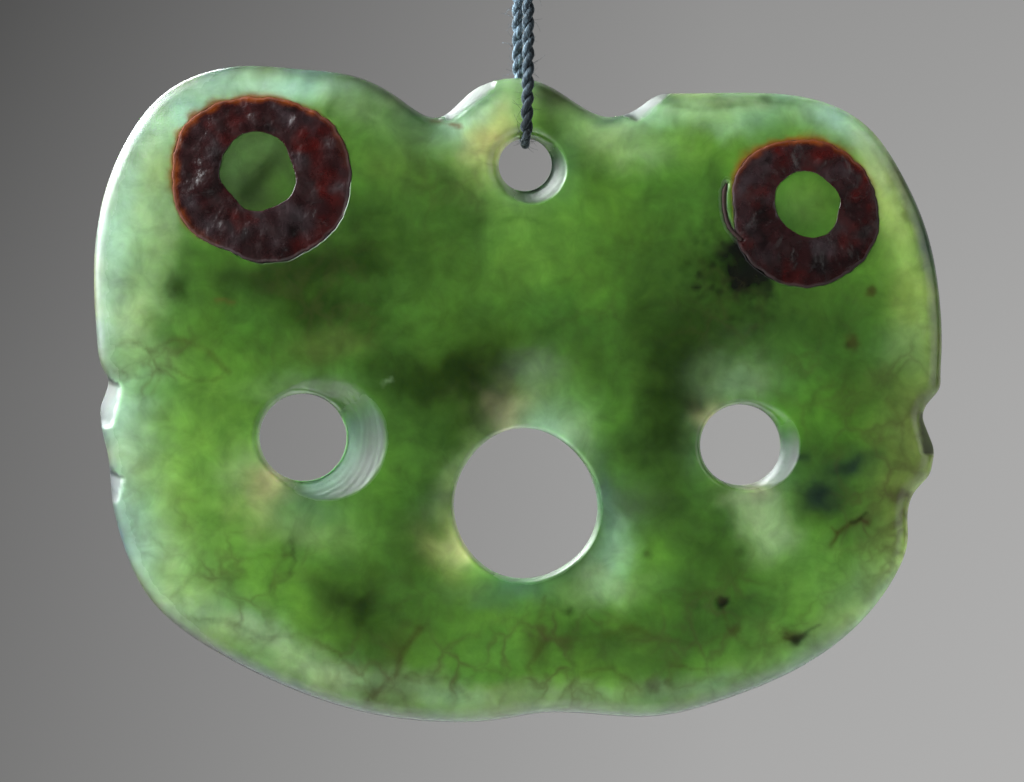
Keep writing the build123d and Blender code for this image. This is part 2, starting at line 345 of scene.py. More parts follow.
def distance_to(points, loop):
    tree = kdtree.KDTree(len(loop))
    for index, (x, z) in enumerate(loop):
        tree.insert((x, z, 0.0), index)
    tree.balance()
    return np.array([tree.find((x, z, 0.0))[2] for x, z in points])


def inside(points, loop):
    """Which points lie inside a closed loop."""
    result = np.zeros(len(points), bool)
    x, z = points[:, 0], points[:, 1]
    for (x1, z1), (x2, z2) in zip(loop, np.roll(loop, -1, axis=0)):
        crosses = (z1 > z) != (z2 > z)
        if z1 != z2:
            result ^= crosses & (x < (x2 - x1) * (z - z1) / (z2 - z1) + x1)
    return result


def run_distance(points, corners):
    """How far points lie from a run of straight pieces."""
    near = np.full(len(points), 1e9)
    for start, end in zip(corners, corners[1:]):
        start, end = np.array(start, float), np.array(end, float)
        run = end - start
        share = unit((points - start) @ run / (run @ run))
        near = np.minimum(near, np.linalg.norm(points - start - share[:, None] * run, axis=1))
    return near


def rounded(share, power):
    """A rounded edge's height, from 0 at the edge to 1 at a share of 1."""
    return (1 - (1 - unit(share)) ** power) ** (1 / power)


def soft_min(a, b, blend):
    share = unit(0.5 + 0.5 * (b - a) / blend)
    return b + (a - b) * share - blend * share * (1 - share)


TRIANGLE_HEIGHT = 0.866


def hex_grid(low, high, step):
    """Points a step apart in even triangles over a box."""
    rows = int((high[1] - low[1]) / (step * TRIANGLE_HEIGHT)) + 1
    columns = int((high[0] - low[0]) / step) + 1
    z, x = np.mgrid[0:rows, 0:columns].astype(float)
    x += 0.5 * (z % 2)
    x, z = low[0] + x.ravel() * step, low[1] + z.ravel() * step * TRIANGLE_HEIGHT
    return np.stack([x, z], axis=1)


def keep_clear(points, taken, gap):
    """The points that lie farther than the gap from those already taken."""
    return points[distance_to(points, taken) > gap] if len(points) else points


# ---- The plate's form
# How far the rounded rim reaches into the face and its shape, and the steps along the edges.
RIM_REACH, RIM_POWER = 1.5, 2.6
OUTLINE_STEP, OUTLINE_FINE_STEP, BORE_STEP, GROOVE_STEP = 0.26, 0.04, 0.2, 0.18
outline = smooth_loop([place_mm(*corner) for corner in OUTLINE], OUTLINE_STEP)
outline_fine = even_line(outline, OUTLINE_FINE_STEP, closed=True)
bore_loops = {
    name: ring_loop(place_mm(*bore.place), 1.0, bore.reach, BORE_STEP / max(bore.reach))
    for name, bore in BORES.items()
}
eye_centres = {name: on_face(place_mm(*eye.ring)) for name, eye in EYES.items()}
core_centres = {name: on_face(place_mm(*eye.core)) for name, eye in EYES.items()}


def ring_edges(name):
    """The centre, radius, reach, roughness and seed of an eye's core and of its ring's edge."""
    eye = EYES[name]
    core_reach = tuple(1 + CORE_UNEVEN * (reach - 1) for reach in eye.core_reach)
    return (
        (core_centres[name], eye.core_radius, core_reach, EDGE_ROUGH, 11),
        (eye_centres[name], eye.radius, eye.reach, EDGE_ROUGH, 23),
    )


def ring_span(points, name):
    """How far points near an eye lie outside its core and inside its ring's outer edge."""
    spans = []
    for centre, *edge in ring_edges(name):
        far, angles = polar(points, centre)
        spans.append(far - edge_reach(angles, *edge))
    return spans[0], -spans[1]


def past_bore(points, bore):
    """How far points lie outside a bore's wall, and at what angle."""
    far, angles = polar(points, place_mm(*bore.place))
    return far - around(bore.reach, angles), angles


def lens(points):
    """Half the plate's thickness before it is carved."""
    sag = (CENTRE_THICKNESS - RIM_THICKNESS) / 2
    half = PLATE_WIDTH / 2
    radius = (half**2 + sag**2) / (2 * sag)
    arm = points - place_mm(*THICKEST)
    return CENTRE_THICKNESS / 2 - (radius - np.sqrt(radius**2 - np.sum(arm**2, axis=1)))


def flares_on(side):
    """The flares of one face, each with its bore's middle and its mouth's shift from there."""
    for flare in FLARES:
        if flare.side == side:
            shift = np.array([flare.right, -flare.down]) * flare.width
            yield flare, place_mm(*BORES[flare.bore].place), shift


def flare_share(arm, flare, shift):
    """How much of the half thickness a leaning cone leaves at each arm from the bore's middle: 0 at
    the bore, 1 or more outside its mouth."""
    start = flare.width / 2
    growth = (flare.mouth - 0.5) * flare.width
    lean = arm @ shift + start * growth
    excess = np.sum(arm**2, axis=1) - start**2
    spread = lean**2 - (shift @ shift - growth**2) * excess
    bottom = lean + np.sqrt(np.maximum(spread, 0))
    open_way = (spread > 0) & (bottom > 1e-6)
    return np.where(open_way, excess / np.where(open_way, bottom, 1), 9.0)


def filed_plane(points, flat):
    """How far a filed flat lies from mid thickness, rising steeply past its ends."""
    middle = place_mm(flat.across, flat.down)
    way = np.array([sin(radians(flat.turn)), cos(radians(flat.turn))])
    arm = points - middle
    fall = 1 / np.tan(radians(flat.lean))
    past = np.abs(arm @ np.array([way[1], -way[0]])) - flat.length / 2
    plane = lens(middle[None]) - (arm @ way + flat.bite) * fall
    return plane + np.clip(past, 0, None) * FLAT_RISE


def half_thickness(points, side, from_outline):
    """Distance of one face from mid thickness, and how far it is worn rough and filed flat."""
    full = lens(points)
    seed = 5 if side == FRONT else 6
    result = full + FACE_WAVE * cloud(points, FACE_WAVE_SIZE, seed, 2)
    for scoop in SCOOPS:
        if scoop.side == side:
            arm = points - place_mm(scoop.across, scoop.down)
            share = np.sum(arm**2, axis=1) / (scoop.reach * SCOOP_SPREAD) ** 2
            result = result - SCOOP_SHARE * scoop.depth * unit(1 - share) ** SCOOP_POWER
    filed, worn = np.zeros(len(points)), np.zeros(len(points))
    if side == FRONT:
        for flat in FLATS:
            plane = filed_plane(points, flat)
            filed = np.maximum(filed, unit((result - plane) * 6))
            result = soft_min(result, plane, FLAT_BLEND)
        furrow = bell(run_distance(points, WAX_LINE), FURROW_REACH, 4)
        result = result - FURROW_DEPTH * furrow
    for flare, centre, shift in flares_on(side):
        left = flare_share(points - centre, flare, shift)
        far, angles = polar(points, centre)
        turned = np.cos(angles - radians(flare.turn))
        carved = eased((turned - flare.start) / FLARE_EASE)
        full_way = FLARE_LEAST + (flare.most - FLARE_LEAST) * carved
        depth = unit((1.12 - left) * 5)
        ripple = np.zeros(len(points))
        for strength, length, wander, size, seed in RIPPLES:
            phase = 2 * pi * far / length + wander * cloud(points, size, seed, 2)
            ripple += strength * np.sin(phase)
        cone = left * full + RIPPLE_DEPTH * ripple * depth * carved
        result += (soft_min(result, cone, 0.30 + 0.45 * (1 - carved)) - result) * full_way
        rough = eased((turned - flare.start - WORN_START) / WORN_EASE)
        worn = np.maximum(worn, depth * rough)
    reach = RIM_REACH * (1 + 0.14 * cloud(points, 7.0, 15, 2))
    result = result * rounded(from_outline / reach, RIM_POWER)
    for bore in BORES.values():
        gap, _ = past_bore(points, bore)
        lip = 0.25 + 0.75 * rounded(gap / bore.lip, 2.0)
        result = np.where(gap < bore.lip, result * lip, result)
    return result, worn, filed


# What a point of a face belongs to, and the rows of points beside the outline, a bore and a groove.
FACE, RIM, BORE, GROOVE = range(4)
RIM_ROWS = (0.03, 0.10, 0.22, 0.38, 0.58, 0.82, 1.10, 1.42)
BORE_ROWS = (0.05, 0.14, 0.27, 0.43, 0.62)
GROOVE_ROWS = (0.10, 0.24, 0.40)
# A groove's wall is this wide, a row at the rim stays this clear of the bores and grooves, and the
# grids keep these gaps, the coarse one as a share of its step.
GROOVE_WALL, INNER_GAP = 0.04, 0.22
FINE_STEP, FINE_GAP, COARSE_GAP = 0.15, 0.10, 0.62


def side_mesh(side, step):
    """The points of one face, its loops first, with each point's kind, the triangles, and how far
    each point lies from the outline."""
    points, kinds, gaps, edges = [], [], [], []

    def add(more, kind=FACE, gap=-1.0, loop=False):
        first = sum(len(p) for p in points)
        points.append(more)
        kinds.append(np.full(len(more), kind))
        gaps.append(np.full(len(more), gap))
        if loop:
            edges.extend((first + i, first + (i + 1) % len(more)) for i in range(len(more)))

    add(outline, RIM, 0.0, loop=True)
    for loop in bore_loops.values():
        add(loop, BORE, loop=True)
    for name in EYES if side == FRONT else ():
        for (centre, radius, reach, *rough), turn in zip(ring_edges(name), (1, -1)):
            loop = ring_loop(centre, radius, reach, GROOVE_STEP, *rough)
            way = outward(loop) * turn
            add(loop, loop=True)
            add(loop + way * GROOVE_WALL, GROOVE, loop=True)
            for gap in GROOVE_ROWS:
                add(loop - way * gap)
    inner = np.vstack(points[1:])
    for gap in RIM_ROWS:
        band = outline - outward(outline) * gap
        good = distance_to(band, outline_fine) > gap * 0.96
        good &= distance_to(band, inner) > INNER_GAP
        add(band[good], gap=gap)
    for loop in bore_loops.values():
        for gap in BORE_ROWS:
            add(loop + outward(loop) * gap)
    taken = np.vstack(points)
    fine_zones = [
        (centre + shift, flare.mouth * flare.width + 0.4)
        for flare, centre, shift in flares_on(side)
    ]
    if side == FRONT:
        fine_zones += [(px_mm(x, y), r / PX_PER_MM) for x, y, r in FINE_SPOTS]
    for centre, radius in fine_zones:
        grid = hex_grid(centre - radius, centre + radius, FINE_STEP)
        grid = in_stone(grid[polar(grid, centre)[0] < radius])
        grid = keep_clear(grid, taken, FINE_GAP)
        add(grid)
        taken = np.vstack([taken, grid])
    grid = in_stone(hex_grid(outline.min(axis=0), outline.max(axis=0), step))
    add(keep_clear(grid, taken, step * COARSE_GAP))

    points, kinds, gaps = np.vstack(points), np.concatenate(kinds), np.concatenate(gaps)
    vertices, _, faces, origins, _, _ = delaunay_2d_cdt(
        [Vector(p) for p in points], edges, [], 0, 1e-7
    )
    if len(vertices) != len(points):
        raise ValueError("the face's points moved: %d became %d" % (len(points), len(vertices)))
    triangles = np.array([o[0] for o in origins])[np.array(faces)]
    good = ~np.all(np.isin(kinds[triangles], (RIM, BORE)), axis=1)
    good[~good] = stone_at(points[triangles[~good]].mean(axis=1))
    triangles = triangles[good]
    a, b, c = (points[triangles[:, i]] for i in range(3))
    area = (b[:, 0] - a[:, 0]) * (c[:, 1] - a[:, 1]) - (b[:, 1] - a[:, 1]) * (c[:, 0] - a[:, 0])
    triangles[area < 0] = triangles[area < 0][:, ::-1]
    for name in EYES if side == FRONT else ():
        past_core, past_edge = ring_span(points, name)
        kinds[(kinds == FACE) & (past_core > 0.05) & (past_edge > 0.05)] = GROOVE
    return points, kinds, triangles, np.where(gaps >= 0, gaps, distance_to(points, outline_fine))


def stone_at(points):
    result = inside(points, outline)
    for loop in bore_loops.values():
        result &= ~inside(points, loop)
    return result


def in_stone(points):
    return points[stone_at(points)]


# ---- Meshes
def build_mesh(name, vertices, faces, material):
    """A smooth piece from vertices in millimetres."""
    mesh = bpy.data.meshes.new(name)
    mesh.from_pydata((vertices * MM).tolist(), [], [tuple(int(i) for i in f) for f in faces])
    mesh.validate()
    mesh.polygons.foreach_set("use_smooth", [True] * len(mesh.polygons))
    mesh.update()
    mesh.materials.append(material)
    piece = bpy.data.objects.new(name, mesh)
    scene.collection.objects.link(piece)
    return piece


def paint(piece, name, values):
    """Keeps one linear colour, or one grey, for each vertex."""
    attribute = piece.data.color_attributes.new(name, "FLOAT_COLOR", "POINT")
    rgba = np.ones((len(values), 4), np.float32)
    rgba[:, :3] = values if values.ndim > 1 else values[:, None]
    attribute.data.foreach_set("color", rgba.ravel())


def quads(upper, lower):
    """Faces between two closed rows of vertices."""
    return list(zip(upper, np.roll(upper, -1), np.roll(lower, -1), lower))


def joined(parts):
    """The vertices and faces of several parts as one."""
    vertices, faces, total = [], [], 0
    for more, more_faces in parts:
        vertices.append(more)
        faces += [tuple(index + total for index in face) for face in more_faces]
        total += len(more)
    return np.vstack(vertices), faces


def tangents_of(centres):
    tangents = np.gradient(centres, axis=0)
    return tangents / np.linalg.norm(tangents, axis=1)[:, None]


def tube(centres, radii, sides=12):
    """Vertices and faces of a closed round tube along centres."""
    tangents = tangents_of(centres)
    across = np.cross(tangents[0], (0.0, 0.0, 1.0))
    if np.linalg.norm(across) < 0.1:
        across = np.cross(tangents[0], (0.0, 1.0, 0.0))
    across /= np.linalg.norm(across)
    rings = []
    way = spokes(steps_round(sides))
    for centre, tangent, radius in zip(centres, tangents, radii):
        across = across - tangent * (across @ tangent)
        across /= np.linalg.norm(across)
        side = np.cross(tangent, across)
        rings.append(centre + radius * (way[:, :1] * across + way[:, 1:] * side))
    vertices = np.vstack(rings + [centres[:1], centres[-1:]])
    rows = np.arange(len(centres) * sides).reshape(-1, sides)
    faces = [face for upper, lower in zip(rows, rows[1:]) for face in quads(upper, lower)]
    first, last = len(vertices) - 2, len(vertices) - 1
    for i, j, k, m in quads(rows[0], rows[-1]):
        faces += [(first, j, i), (last, m, k)]
    return vertices, faces


# ---- The stone's colours
# What the polished surface itself sends back, which a tone as seen holds and the stone doesn't,
# and how brightly the stage lights the faces.
SHEEN = np.array([0.005, 0.006, 0.007])
DARKEST = 0.0015
STAGE_LIGHT = 0.98

TONES = {
    "mint": (172, 207, 183), "pale": (170, 194, 142), "lime": (122, 168, 74),
    "leaf": (92, 136, 52), "green": (72, 114, 42), "moss": (56, 86, 36),
    "deep": (34, 54, 24), "black": (14, 16, 13), "olive": (92, 104, 52),
    "brown": (62, 52, 28), "teal": (78, 110, 88), "slate": (28, 42, 38),
    "cream": (196, 190, 140), "rust": (120, 70, 48), "straw": (158, 180, 104),
    "sage": (120, 148, 104), "dull": (86, 118, 68), "amber": (140, 84, 22),
    "wall": (61, 86, 73), "dusk": (54, 70, 42),
}

# Patches of tone: the middle, half width and half height in the photograph, how strongly the tone
# shows, and the turn clockwise in degrees. The broad fields lie under the plate's thin margin, and
# the others over it.
Patch = namedtuple("Patch", "tone right down wide high strength turn", defaults=(0,))
FIELDS = (
    ("green", 300, 270, 120, 70, 0.55), ("lime", 210, 480, 90, 90, 0.8),
    ("leaf", 480, 640, 110, 60, 0.6), ("lime", 520, 240, 60, 70, 0.45),
    ("green", 570, 300, 70, 70, 0.55), ("leaf", 620, 210, 90, 50, 0.55),
    ("moss", 470, 370, 130, 50, 0.75, -18), ("moss", 670, 400, 55, 120, 0.85, 8),
    ("moss", 760, 310, 110, 40, 0.6, 5), ("moss", 370, 250, 70, 50, 0.55, 20),
    ("green", 840, 450, 70, 60, 0.55), ("green", 740, 600, 80, 60, 0.55),
    ("moss", 620, 645, 90, 36, 0.68), ("moss", 725, 600, 60, 60, 0.8),
    ("moss", 380, 600, 70, 60, 0.6, -20), ("leaf", 270, 600, 80, 50, 0.55, 20),
    ("moss", 430, 480, 34, 90, 0.55, 10), ("moss", 440, 240, 70, 90, 0.5),
    ("moss", 350, 240, 50, 50, 0.45), ("moss", 330, 300, 90, 50, 0.5, 10),
    ("moss", 650, 240, 60, 60, 0.35), ("moss", 800, 325, 100, 34, 0.6),
    ("moss", 380, 320, 160, 100, 0.22), ("moss", 640, 250, 110, 60, 0.25),
)
# The sage, mint and pale patches over the ground hollows are painted reflection of light on their
# slopes; the pale, straw and cream patches on the crest beside the suspension bore are painted glow
# of light through the thin stone there.
PATCHES = (
    # top left wing
    ("dull", 392, 104, 64, 24, 0.95, 28), ("moss", 338, 82, 14, 10, 0.5),
    ("moss", 330, 104, 8, 16, 0.45, 30), ("sage", 358, 106, 22, 15, 0.55, 10),
    ("olive", 400, 160, 50, 34, 0.35, 20), ("moss", 450, 180, 34, 40, 0.45),
    ("pale", 150, 240, 26, 110, 0.55, 6), ("deep", 290, 270, 64, 12, 0.55),
    ("deep", 366, 226, 28, 38, 0.45), ("leaf", 150, 385, 44, 14, 0.5),
    ("pale", 135, 310, 22, 20, 0.35), ("mint", 260, 82, 90, 12, 0.75),
    ("moss", 168, 334, 24, 14, 0.5, -10), ("deep", 178, 290, 16, 15, 0.95),
    ("moss", 250, 278, 60, 15, 0.7, -8), ("deep", 330, 265, 60, 16, 0.75, -12),
    ("deep", 380, 268, 28, 8, 0.8, 5), ("deep", 325, 308, 60, 28, 0.75, 20),
    ("olive", 330, 345, 44, 18, 0.6, -6), ("lime", 130, 362, 40, 18, 0.45),
    # crest and top right wing
    ("pale", 495, 125, 30, 36, 0.95, 20), ("mint", 472, 118, 30, 22, 0.75, -30),
    ("straw", 492, 146, 26, 34, 0.85, 10), ("cream", 505, 122, 10, 22, 0.2, 5),
    ("cream", 484, 150, 22, 18, 0.45, 5), ("olive", 555, 100, 22, 16, 0.85, 40),
    ("moss", 548, 90, 16, 7, 0.6, 35), ("lime", 580, 122, 22, 14, 0.4),
    ("teal", 572, 160, 18, 32, 0.55), ("moss", 590, 170, 24, 26, 0.5),
    ("pale", 610, 132, 30, 14, 0.5), ("teal", 620, 118, 26, 6, 0.6, -6),
    ("mint", 700, 112, 80, 18, 0.45, 2), ("pale", 640, 150, 40, 18, 0.45),
    ("moss", 470, 215, 24, 34, 0.45), ("mint", 850, 130, 50, 20, 0.65, 32),
    ("straw", 882, 190, 22, 60, 0.95, -24), ("mint", 852, 134, 40, 14, 0.6, 34),
    ("straw", 908, 290, 20, 60, 0.35, -6), ("pale", 866, 152, 14, 44, 0.85, -36),
    ("lime", 690, 150, 26, 26, 0.45), ("moss", 640, 140, 20, 9, 0.35),
    ("teal", 926, 240, 7, 50, 0.7, -16), ("teal", 474, 97, 34, 12, 0.95, -32),
    ("teal", 640, 104, 24, 9, 0.8, -30), ("teal", 710, 97, 90, 7, 0.35),
    ("straw", 924, 430, 12, 34, 0.95), ("straw", 908, 492, 14, 18, 0.35),
    ("moss", 428, 440, 28, 44, 0.45), ("moss", 662, 262, 64, 36, 0.45),
    ("green", 160, 322, 26, 16, 0.6), ("lime", 186, 580, 38, 28, 0.55),
    ("pale", 250, 660, 40, 12, 0.4, 28), ("straw", 480, 702, 70, 12, 0.6),
    ("leaf", 520, 340, 36, 30, 0.35), ("brown", 906, 202, 5, 14, 0.5, -22),
    ("pale", 905, 352, 26, 26, 0.3), ("olive", 880, 385, 34, 18, 0.4),
    ("moss", 850, 345, 26, 20, 0.3),
    # the waist
    ("deep", 462, 376, 66, 34, 0.95, -20), ("deep", 400, 374, 34, 22, 0.8, 10),
    ("deep", 470, 415, 30, 30, 0.55, -20), ("deep", 674, 410, 34, 76, 0.92, 6),
    ("deep", 690, 350, 50, 26, 0.6), ("sage", 534, 392, 24, 28, 0.55),
    ("teal", 566, 410, 20, 26, 0.35, 30), ("sage", 738, 382, 38, 24, 0.95),
    ("teal", 700, 440, 14, 40, 0.35), ("moss", 650, 500, 36, 40, 0.7),
    ("moss", 700, 520, 40, 34, 0.6), ("deep", 642, 330, 30, 44, 0.65, 10),
    ("deep", 700, 322, 70, 22, 0.5, 4), ("sage", 578, 440, 22, 40, 0.6, -14),
    ("moss", 592, 372, 32, 52, 0.5), ("moss", 800, 380, 60, 30, 0.35),
    ("moss", 905, 370, 26, 40, 0.35), ("mint", 606, 552, 24, 36, 0.5, 14),
    ("teal", 606, 500, 9, 40, 0.55), ("pale", 600, 590, 44, 16, 0.35, -8),
    ("teal", 500, 592, 44, 12, 0.55, 6), ("pale", 462, 470, 12, 44, 0.3, 28),
    ("pale", 250, 470, 30, 26, 0.35), ("teal", 300, 505, 40, 16, 0.45, 14),
    ("pale", 300, 530, 50, 18, 0.25, 14),
    # right side
    ("pale", 768, 525, 22, 36, 0.65, -30), ("pale", 752, 500, 26, 12, 0.75),
    ("lime", 830, 575, 60, 40, 0.45, -20), ("olive", 905, 440, 32, 50, 0.8),
    ("olive", 890, 500, 34, 50, 0.75, 16), ("sage", 866, 600, 44, 26, 0.7, -50),
    ("moss", 830, 480, 50, 40, 0.6, -14), ("slate", 817, 493, 24, 18, 1),
    ("slate", 850, 465, 24, 13, 0.8, -18), ("moss", 860, 520, 40, 26, 0.4, -20),
    ("slate", 802, 463, 6, 5, 0.6),
    # lower left and bottom
    ("straw", 186, 600, 30, 20, 0.4, -30), ("deep", 352, 604, 32, 30, 0.95),
    ("deep", 372, 640, 26, 34, 0.45, 20), ("brown", 395, 655, 14, 32, 0.45, 28),
    ("olive", 400, 690, 60, 18, 0.5, 6), ("brown", 372, 688, 12, 14, 0.4),
    ("sage", 262, 642, 60, 22, 0.85, 26), ("pale", 262, 646, 50, 16, 0.6, 26),
    ("sage", 330, 675, 44, 20, 0.95, 14), ("pale", 322, 674, 34, 16, 0.6, 14),
    ("sage", 410, 690, 50, 16, 0.7, 8), ("teal", 285, 685, 70, 6, 0.7, 24),
    ("sage", 480, 704, 80, 14, 0.8), ("brown", 535, 650, 12, 30, 0.35, 8),
    ("brown", 632, 632, 24, 14, 0.28, 20), ("sage", 690, 690, 70, 14, 0.8, -10),
    ("sage", 570, 700, 60, 12, 0.8), ("sage", 810, 662, 60, 16, 0.75, -30),
    ("teal", 890, 590, 8, 40, 0.4, 38),
    # beside the rings and bores
    ("moss", 212, 256, 34, 13, 0.45, 14), ("deep", 490, 405, 18, 14, 0.7, -30),
    ("deep", 691, 412, 12, 16, 0.8), ("moss", 872, 410, 20, 16, 0.4),
    ("moss", 722, 190, 13, 40, 0.4), ("mint", 184, 112, 30, 13, 0.45, -42),
    ("pale", 168, 205, 12, 30, 0.45), ("sage", 300, 384, 46, 13, 0.45),
    ("sage", 296, 489, 22, 12, 0.4), ("cream", 487, 145, 13, 20, 0.35),
    ("pale", 740, 100, 46, 6, 0.4), ("sage", 516, 412, 12, 10, 0.5),
    ("pale", 592, 570, 13, 12, 0.45), ("lime", 146, 275, 26, 32, 0.22),
    ("lime", 150, 475, 24, 46, 0.26), ("lime", 250, 660, 50, 16, 0.28, 26),
    ("deep", 252, 274, 44, 9, 0.55), ("moss", 200, 272, 30, 16, 0.4, -10),
    ("moss", 398, 336, 40, 24, 0.35), ("moss", 815, 294, 50, 12, 0.35),
    ("moss", 888, 252, 14, 24, 0.3), ("moss", 236, 516, 20, 15, 0.3),
    ("pale", 176, 566, 18, 24, 0.3), ("pale", 132, 458, 16, 34, 0.25),
    ("lime", 760, 638, 26, 18, 0.3), ("leaf", 524, 616, 40, 20, 0.4),
    ("leaf", 630, 456, 24, 28, 0.35), ("leaf", 590, 204, 36, 40, 0.22),
    ("mint", 206, 106, 34, 14, 0.3, -20),
)

# Tones that hug a bore's edge: the middle and half spread of the arc in degrees, from the right and
# counter-clockwise, how far they reach out in the photograph, and how strongly they show.
Arc = namedtuple("Arc", "bore tone middle spread reach strength")
# The cream and straw arcs are painted glow of light coming through the thin stone beside the bores.
ARCS = (
    ("centre", "olive", 165, 34, 20, 0.55), ("centre", "cream", 208, 13, 22, 0.85),
    ("centre", "leaf", 232, 12, 30, 0.6), ("centre", "straw", 210, 20, 36, 0.4),
    ("centre", "cream", 103, 13, 34, 0.7), ("centre", "mint", 74, 24, 22, 0.5),
    ("centre", "teal", 8, 40, 20, 0.6), ("centre", "leaf", -30, 28, 9, 0.5),
    ("centre", "teal", 268, 34, 20, 0.5), ("left", "straw", 233, 30, 44, 0.55),
    ("left", "cream", 236, 18, 34, 0.85), ("left", "teal", 278, 34, 56, 0.35),
    ("right", "dull", 185, 46, 18, 0.6), ("right", "cream", 132, 20, 17, 0.55),
    ("right", "cream", 284, 20, 12, 0.75), ("right", "teal", 300, 40, 22, 0.4),
    ("suspension", "straw", 190, 50, 26, 0.55), ("suspension", "sage", 250, 60, 18, 0.5),
)

# Veins and cracks: the tone, the half width in the photograph, the strength, and the places.
Vein = namedtuple("Vein", "tone width strength run")
VEINS = (
    ("brown", 3, 0.45, ((100, 352), (128, 340), (150, 352), (176, 338), (205, 350), (228, 372))),
    ("brown", 2.4, 0.35, ((112, 372), (140, 378), (166, 366), (196, 382), (222, 378))),
    ("brown", 2.2, 0.3, ((150, 352), (158, 372), (150, 398), (168, 420))),
    ("brown", 2.4, 0.3, ((168, 600), (196, 574), (214, 580), (240, 560), (290, 556))),
    ("brown", 2.6, 0.4, ((180, 620), (226, 622), (262, 640), (300, 634), (340, 656), (372, 690))),
    ("brown", 3.4, 0.6, ((420, 630), (404, 650), (396, 676), (378, 690), (366, 704))),
    ("brown", 3, 0.45, ((396, 676), (420, 684), (446, 680), (470, 700))),
    ("brown", 2.6, 0.4, ((545, 596), (538, 622), (546, 640), (528, 668), (536, 690))),
    ("brown", 2.6, 0.22, ((546, 640), (590, 640), (632, 628), (660, 640), (700, 648), (736, 630))),
    ("brown", 2.4, 0.35, ((560, 700), (580, 676), (612, 668), (640, 690), (668, 668), (720, 672))),
    ("brown", 2.2, 0.35, ((722, 604), (730, 632), (752, 650), (790, 640))),
    ("black", 1.6, 0.55, ((786, 634), (798, 640), (812, 630), (820, 626))),
    ("black", 3, 0.8, ((788, 640), (798, 643), (806, 637))),
    ("brown", 3.2, 0.8, ((832, 546), (838, 534), (850, 526), (862, 520), (869, 524))),
    ("black", 2, 0.6, ((852, 524), (862, 519), (867, 514))),
    ("brown", 1.8, 0.5, ((838, 534), (832, 528))),
    ("moss", 3.4, 0.55, ((800, 366), (806, 382), (814, 396), (812, 412))),
    ("moss", 2.6, 0.4, ((806, 382), (792, 352), (786, 330))),
    ("rust", 2.4, 0.7, ((432, 120), (440, 121))), ("rust", 2.2, 0.75, ((450, 124), (460, 127))),
    ("rust", 2.2, 0.45, ((216, 300), (232, 302))), ("pale", 1.6, 0.4, ((382, 384), (392, 379))),
    ("brown", 2.4, 0.4, ((884, 548), (896, 556), (890, 572))),
    ("brown", 2.4, 0.35, ((888, 400), (900, 420), (916, 436), (926, 436))),
    ("deep", 3, 0.45, ((290, 540), (294, 562), (288, 574))),
    ("moss", 3, 0.4, ((400, 176), (424, 190), (450, 178), (474, 196))),
    ("deep", 3, 0.4, ((500, 222), (520, 216), (548, 226))),
    ("moss", 3, 0.4, ((640, 100), (700, 108), (766, 100), (800, 104))),
)

# The eyes' cores, and where the wax stains the stone round each ring: the middle of that part of
# the ring, in degrees from the right and counter-clockwise, and how far it spreads.
CORE_PATCHES = {
    "left": (
        ("dull", 240, 165, 20, 34, 0.5, 20), ("dull", 262, 143, 18, 12, 0.5),
        ("leaf", 280, 186, 17, 20, 0.4, -30), ("deep", 254, 182, 8, 30, 0.7, 40),
    ),
    "right": (
        ("straw", 806, 205, 26, 20, 0.15), ("lime", 800, 186, 26, 12, 0.3),
        ("moss", 800, 228, 28, 9, 0.35), ("olive", 845, 226, 10, 14, 0.7),
    ),
}
CORE_TONES = {"left": "dusk", "right": "green"}
STAINS = {"left": (128, 0.30), "right": (100, 0.20)}

# Where the fine net of brown cracks shows: middle, half width, half height and strength.
VEINED_ZONES = (
    (165, 362, 80, 46, 0.9), (250, 600, 120, 60, 0.7), (150, 520, 50, 60, 0.4),
    (540, 660, 190, 50, 0.8), (400, 650, 60, 60, 0.7), (740, 630, 100, 60, 0.6),
    (890, 480, 60, 90, 0.9), (850, 380, 90, 80, 0.5), (300, 300, 120, 60, 0.35),
    (690, 300, 100, 60, 0.35), (470, 200, 60, 60, 0.3), (620, 300, 70, 70, 0.2),
)

# Specks: the tone, a place in the photograph, the reach and the strength.
Speck = namedtuple("Speck", "tone right down reach strength")
SPECKS = (
    ("black", 722, 603, 6.5, 0.92), ("brown", 735, 630, 6, 0.45), ("black", 797, 643, 6, 0.8),
    ("brown", 792, 637, 9, 0.65), ("brown", 853, 343, 8, 0.7), ("black", 848, 345, 4, 0.45),
    ("brown", 871, 291, 6, 0.75), ("brown", 653, 688, 8, 0.6), ("brown", 668, 684, 5, 0.4),
    ("deep", 568, 611, 5, 0.6), ("deep", 648, 555, 5, 0.55), ("deep", 566, 645, 7, 0.4),
    ("deep", 700, 546, 5, 0.4), ("deep", 740, 555, 6, 0.35), ("brown", 902, 494, 8, 0.35),
    ("deep", 730, 103, 5, 0.3), ("deep", 768, 97, 6, 0.45), ("black", 744, 250, 12, 0.9),
    ("black", 732, 272, 9, 0.9), ("black", 736, 287, 8, 0.8), ("black", 722, 255, 6, 0.75),
    ("black", 712, 266, 4, 0.7), ("black", 697, 288, 4.5, 0.85), ("black", 698, 276, 3.5, 0.6),
    ("black", 712, 288, 3.5, 0.55), ("black", 750, 280, 7, 0.75), ("black", 762, 268, 7, 0.7),
    ("black", 720, 292, 4, 0.6), ("black", 752, 248, 16, 0.95), ("black", 766, 262, 16, 0.9),
    ("black", 733, 248, 9, 0.8), ("black", 754, 262, 22, 0.95), ("black", 742, 280, 15, 0.85),
    ("black", 762, 284, 12, 0.6), ("deep", 738, 268, 48, 0.85),
)


def linear(colour):
    """The base colour, in linear light, of what is seen as a tone from 0 to 255."""
    share = np.asarray(colour, float) / 255
    light = np.where(share <= 0.04045, share / 12.92, ((share + 0.055) / 1.055) ** 2.4)
    return np.maximum(light - SHEEN, DARKEST) / STAGE_LIGHT


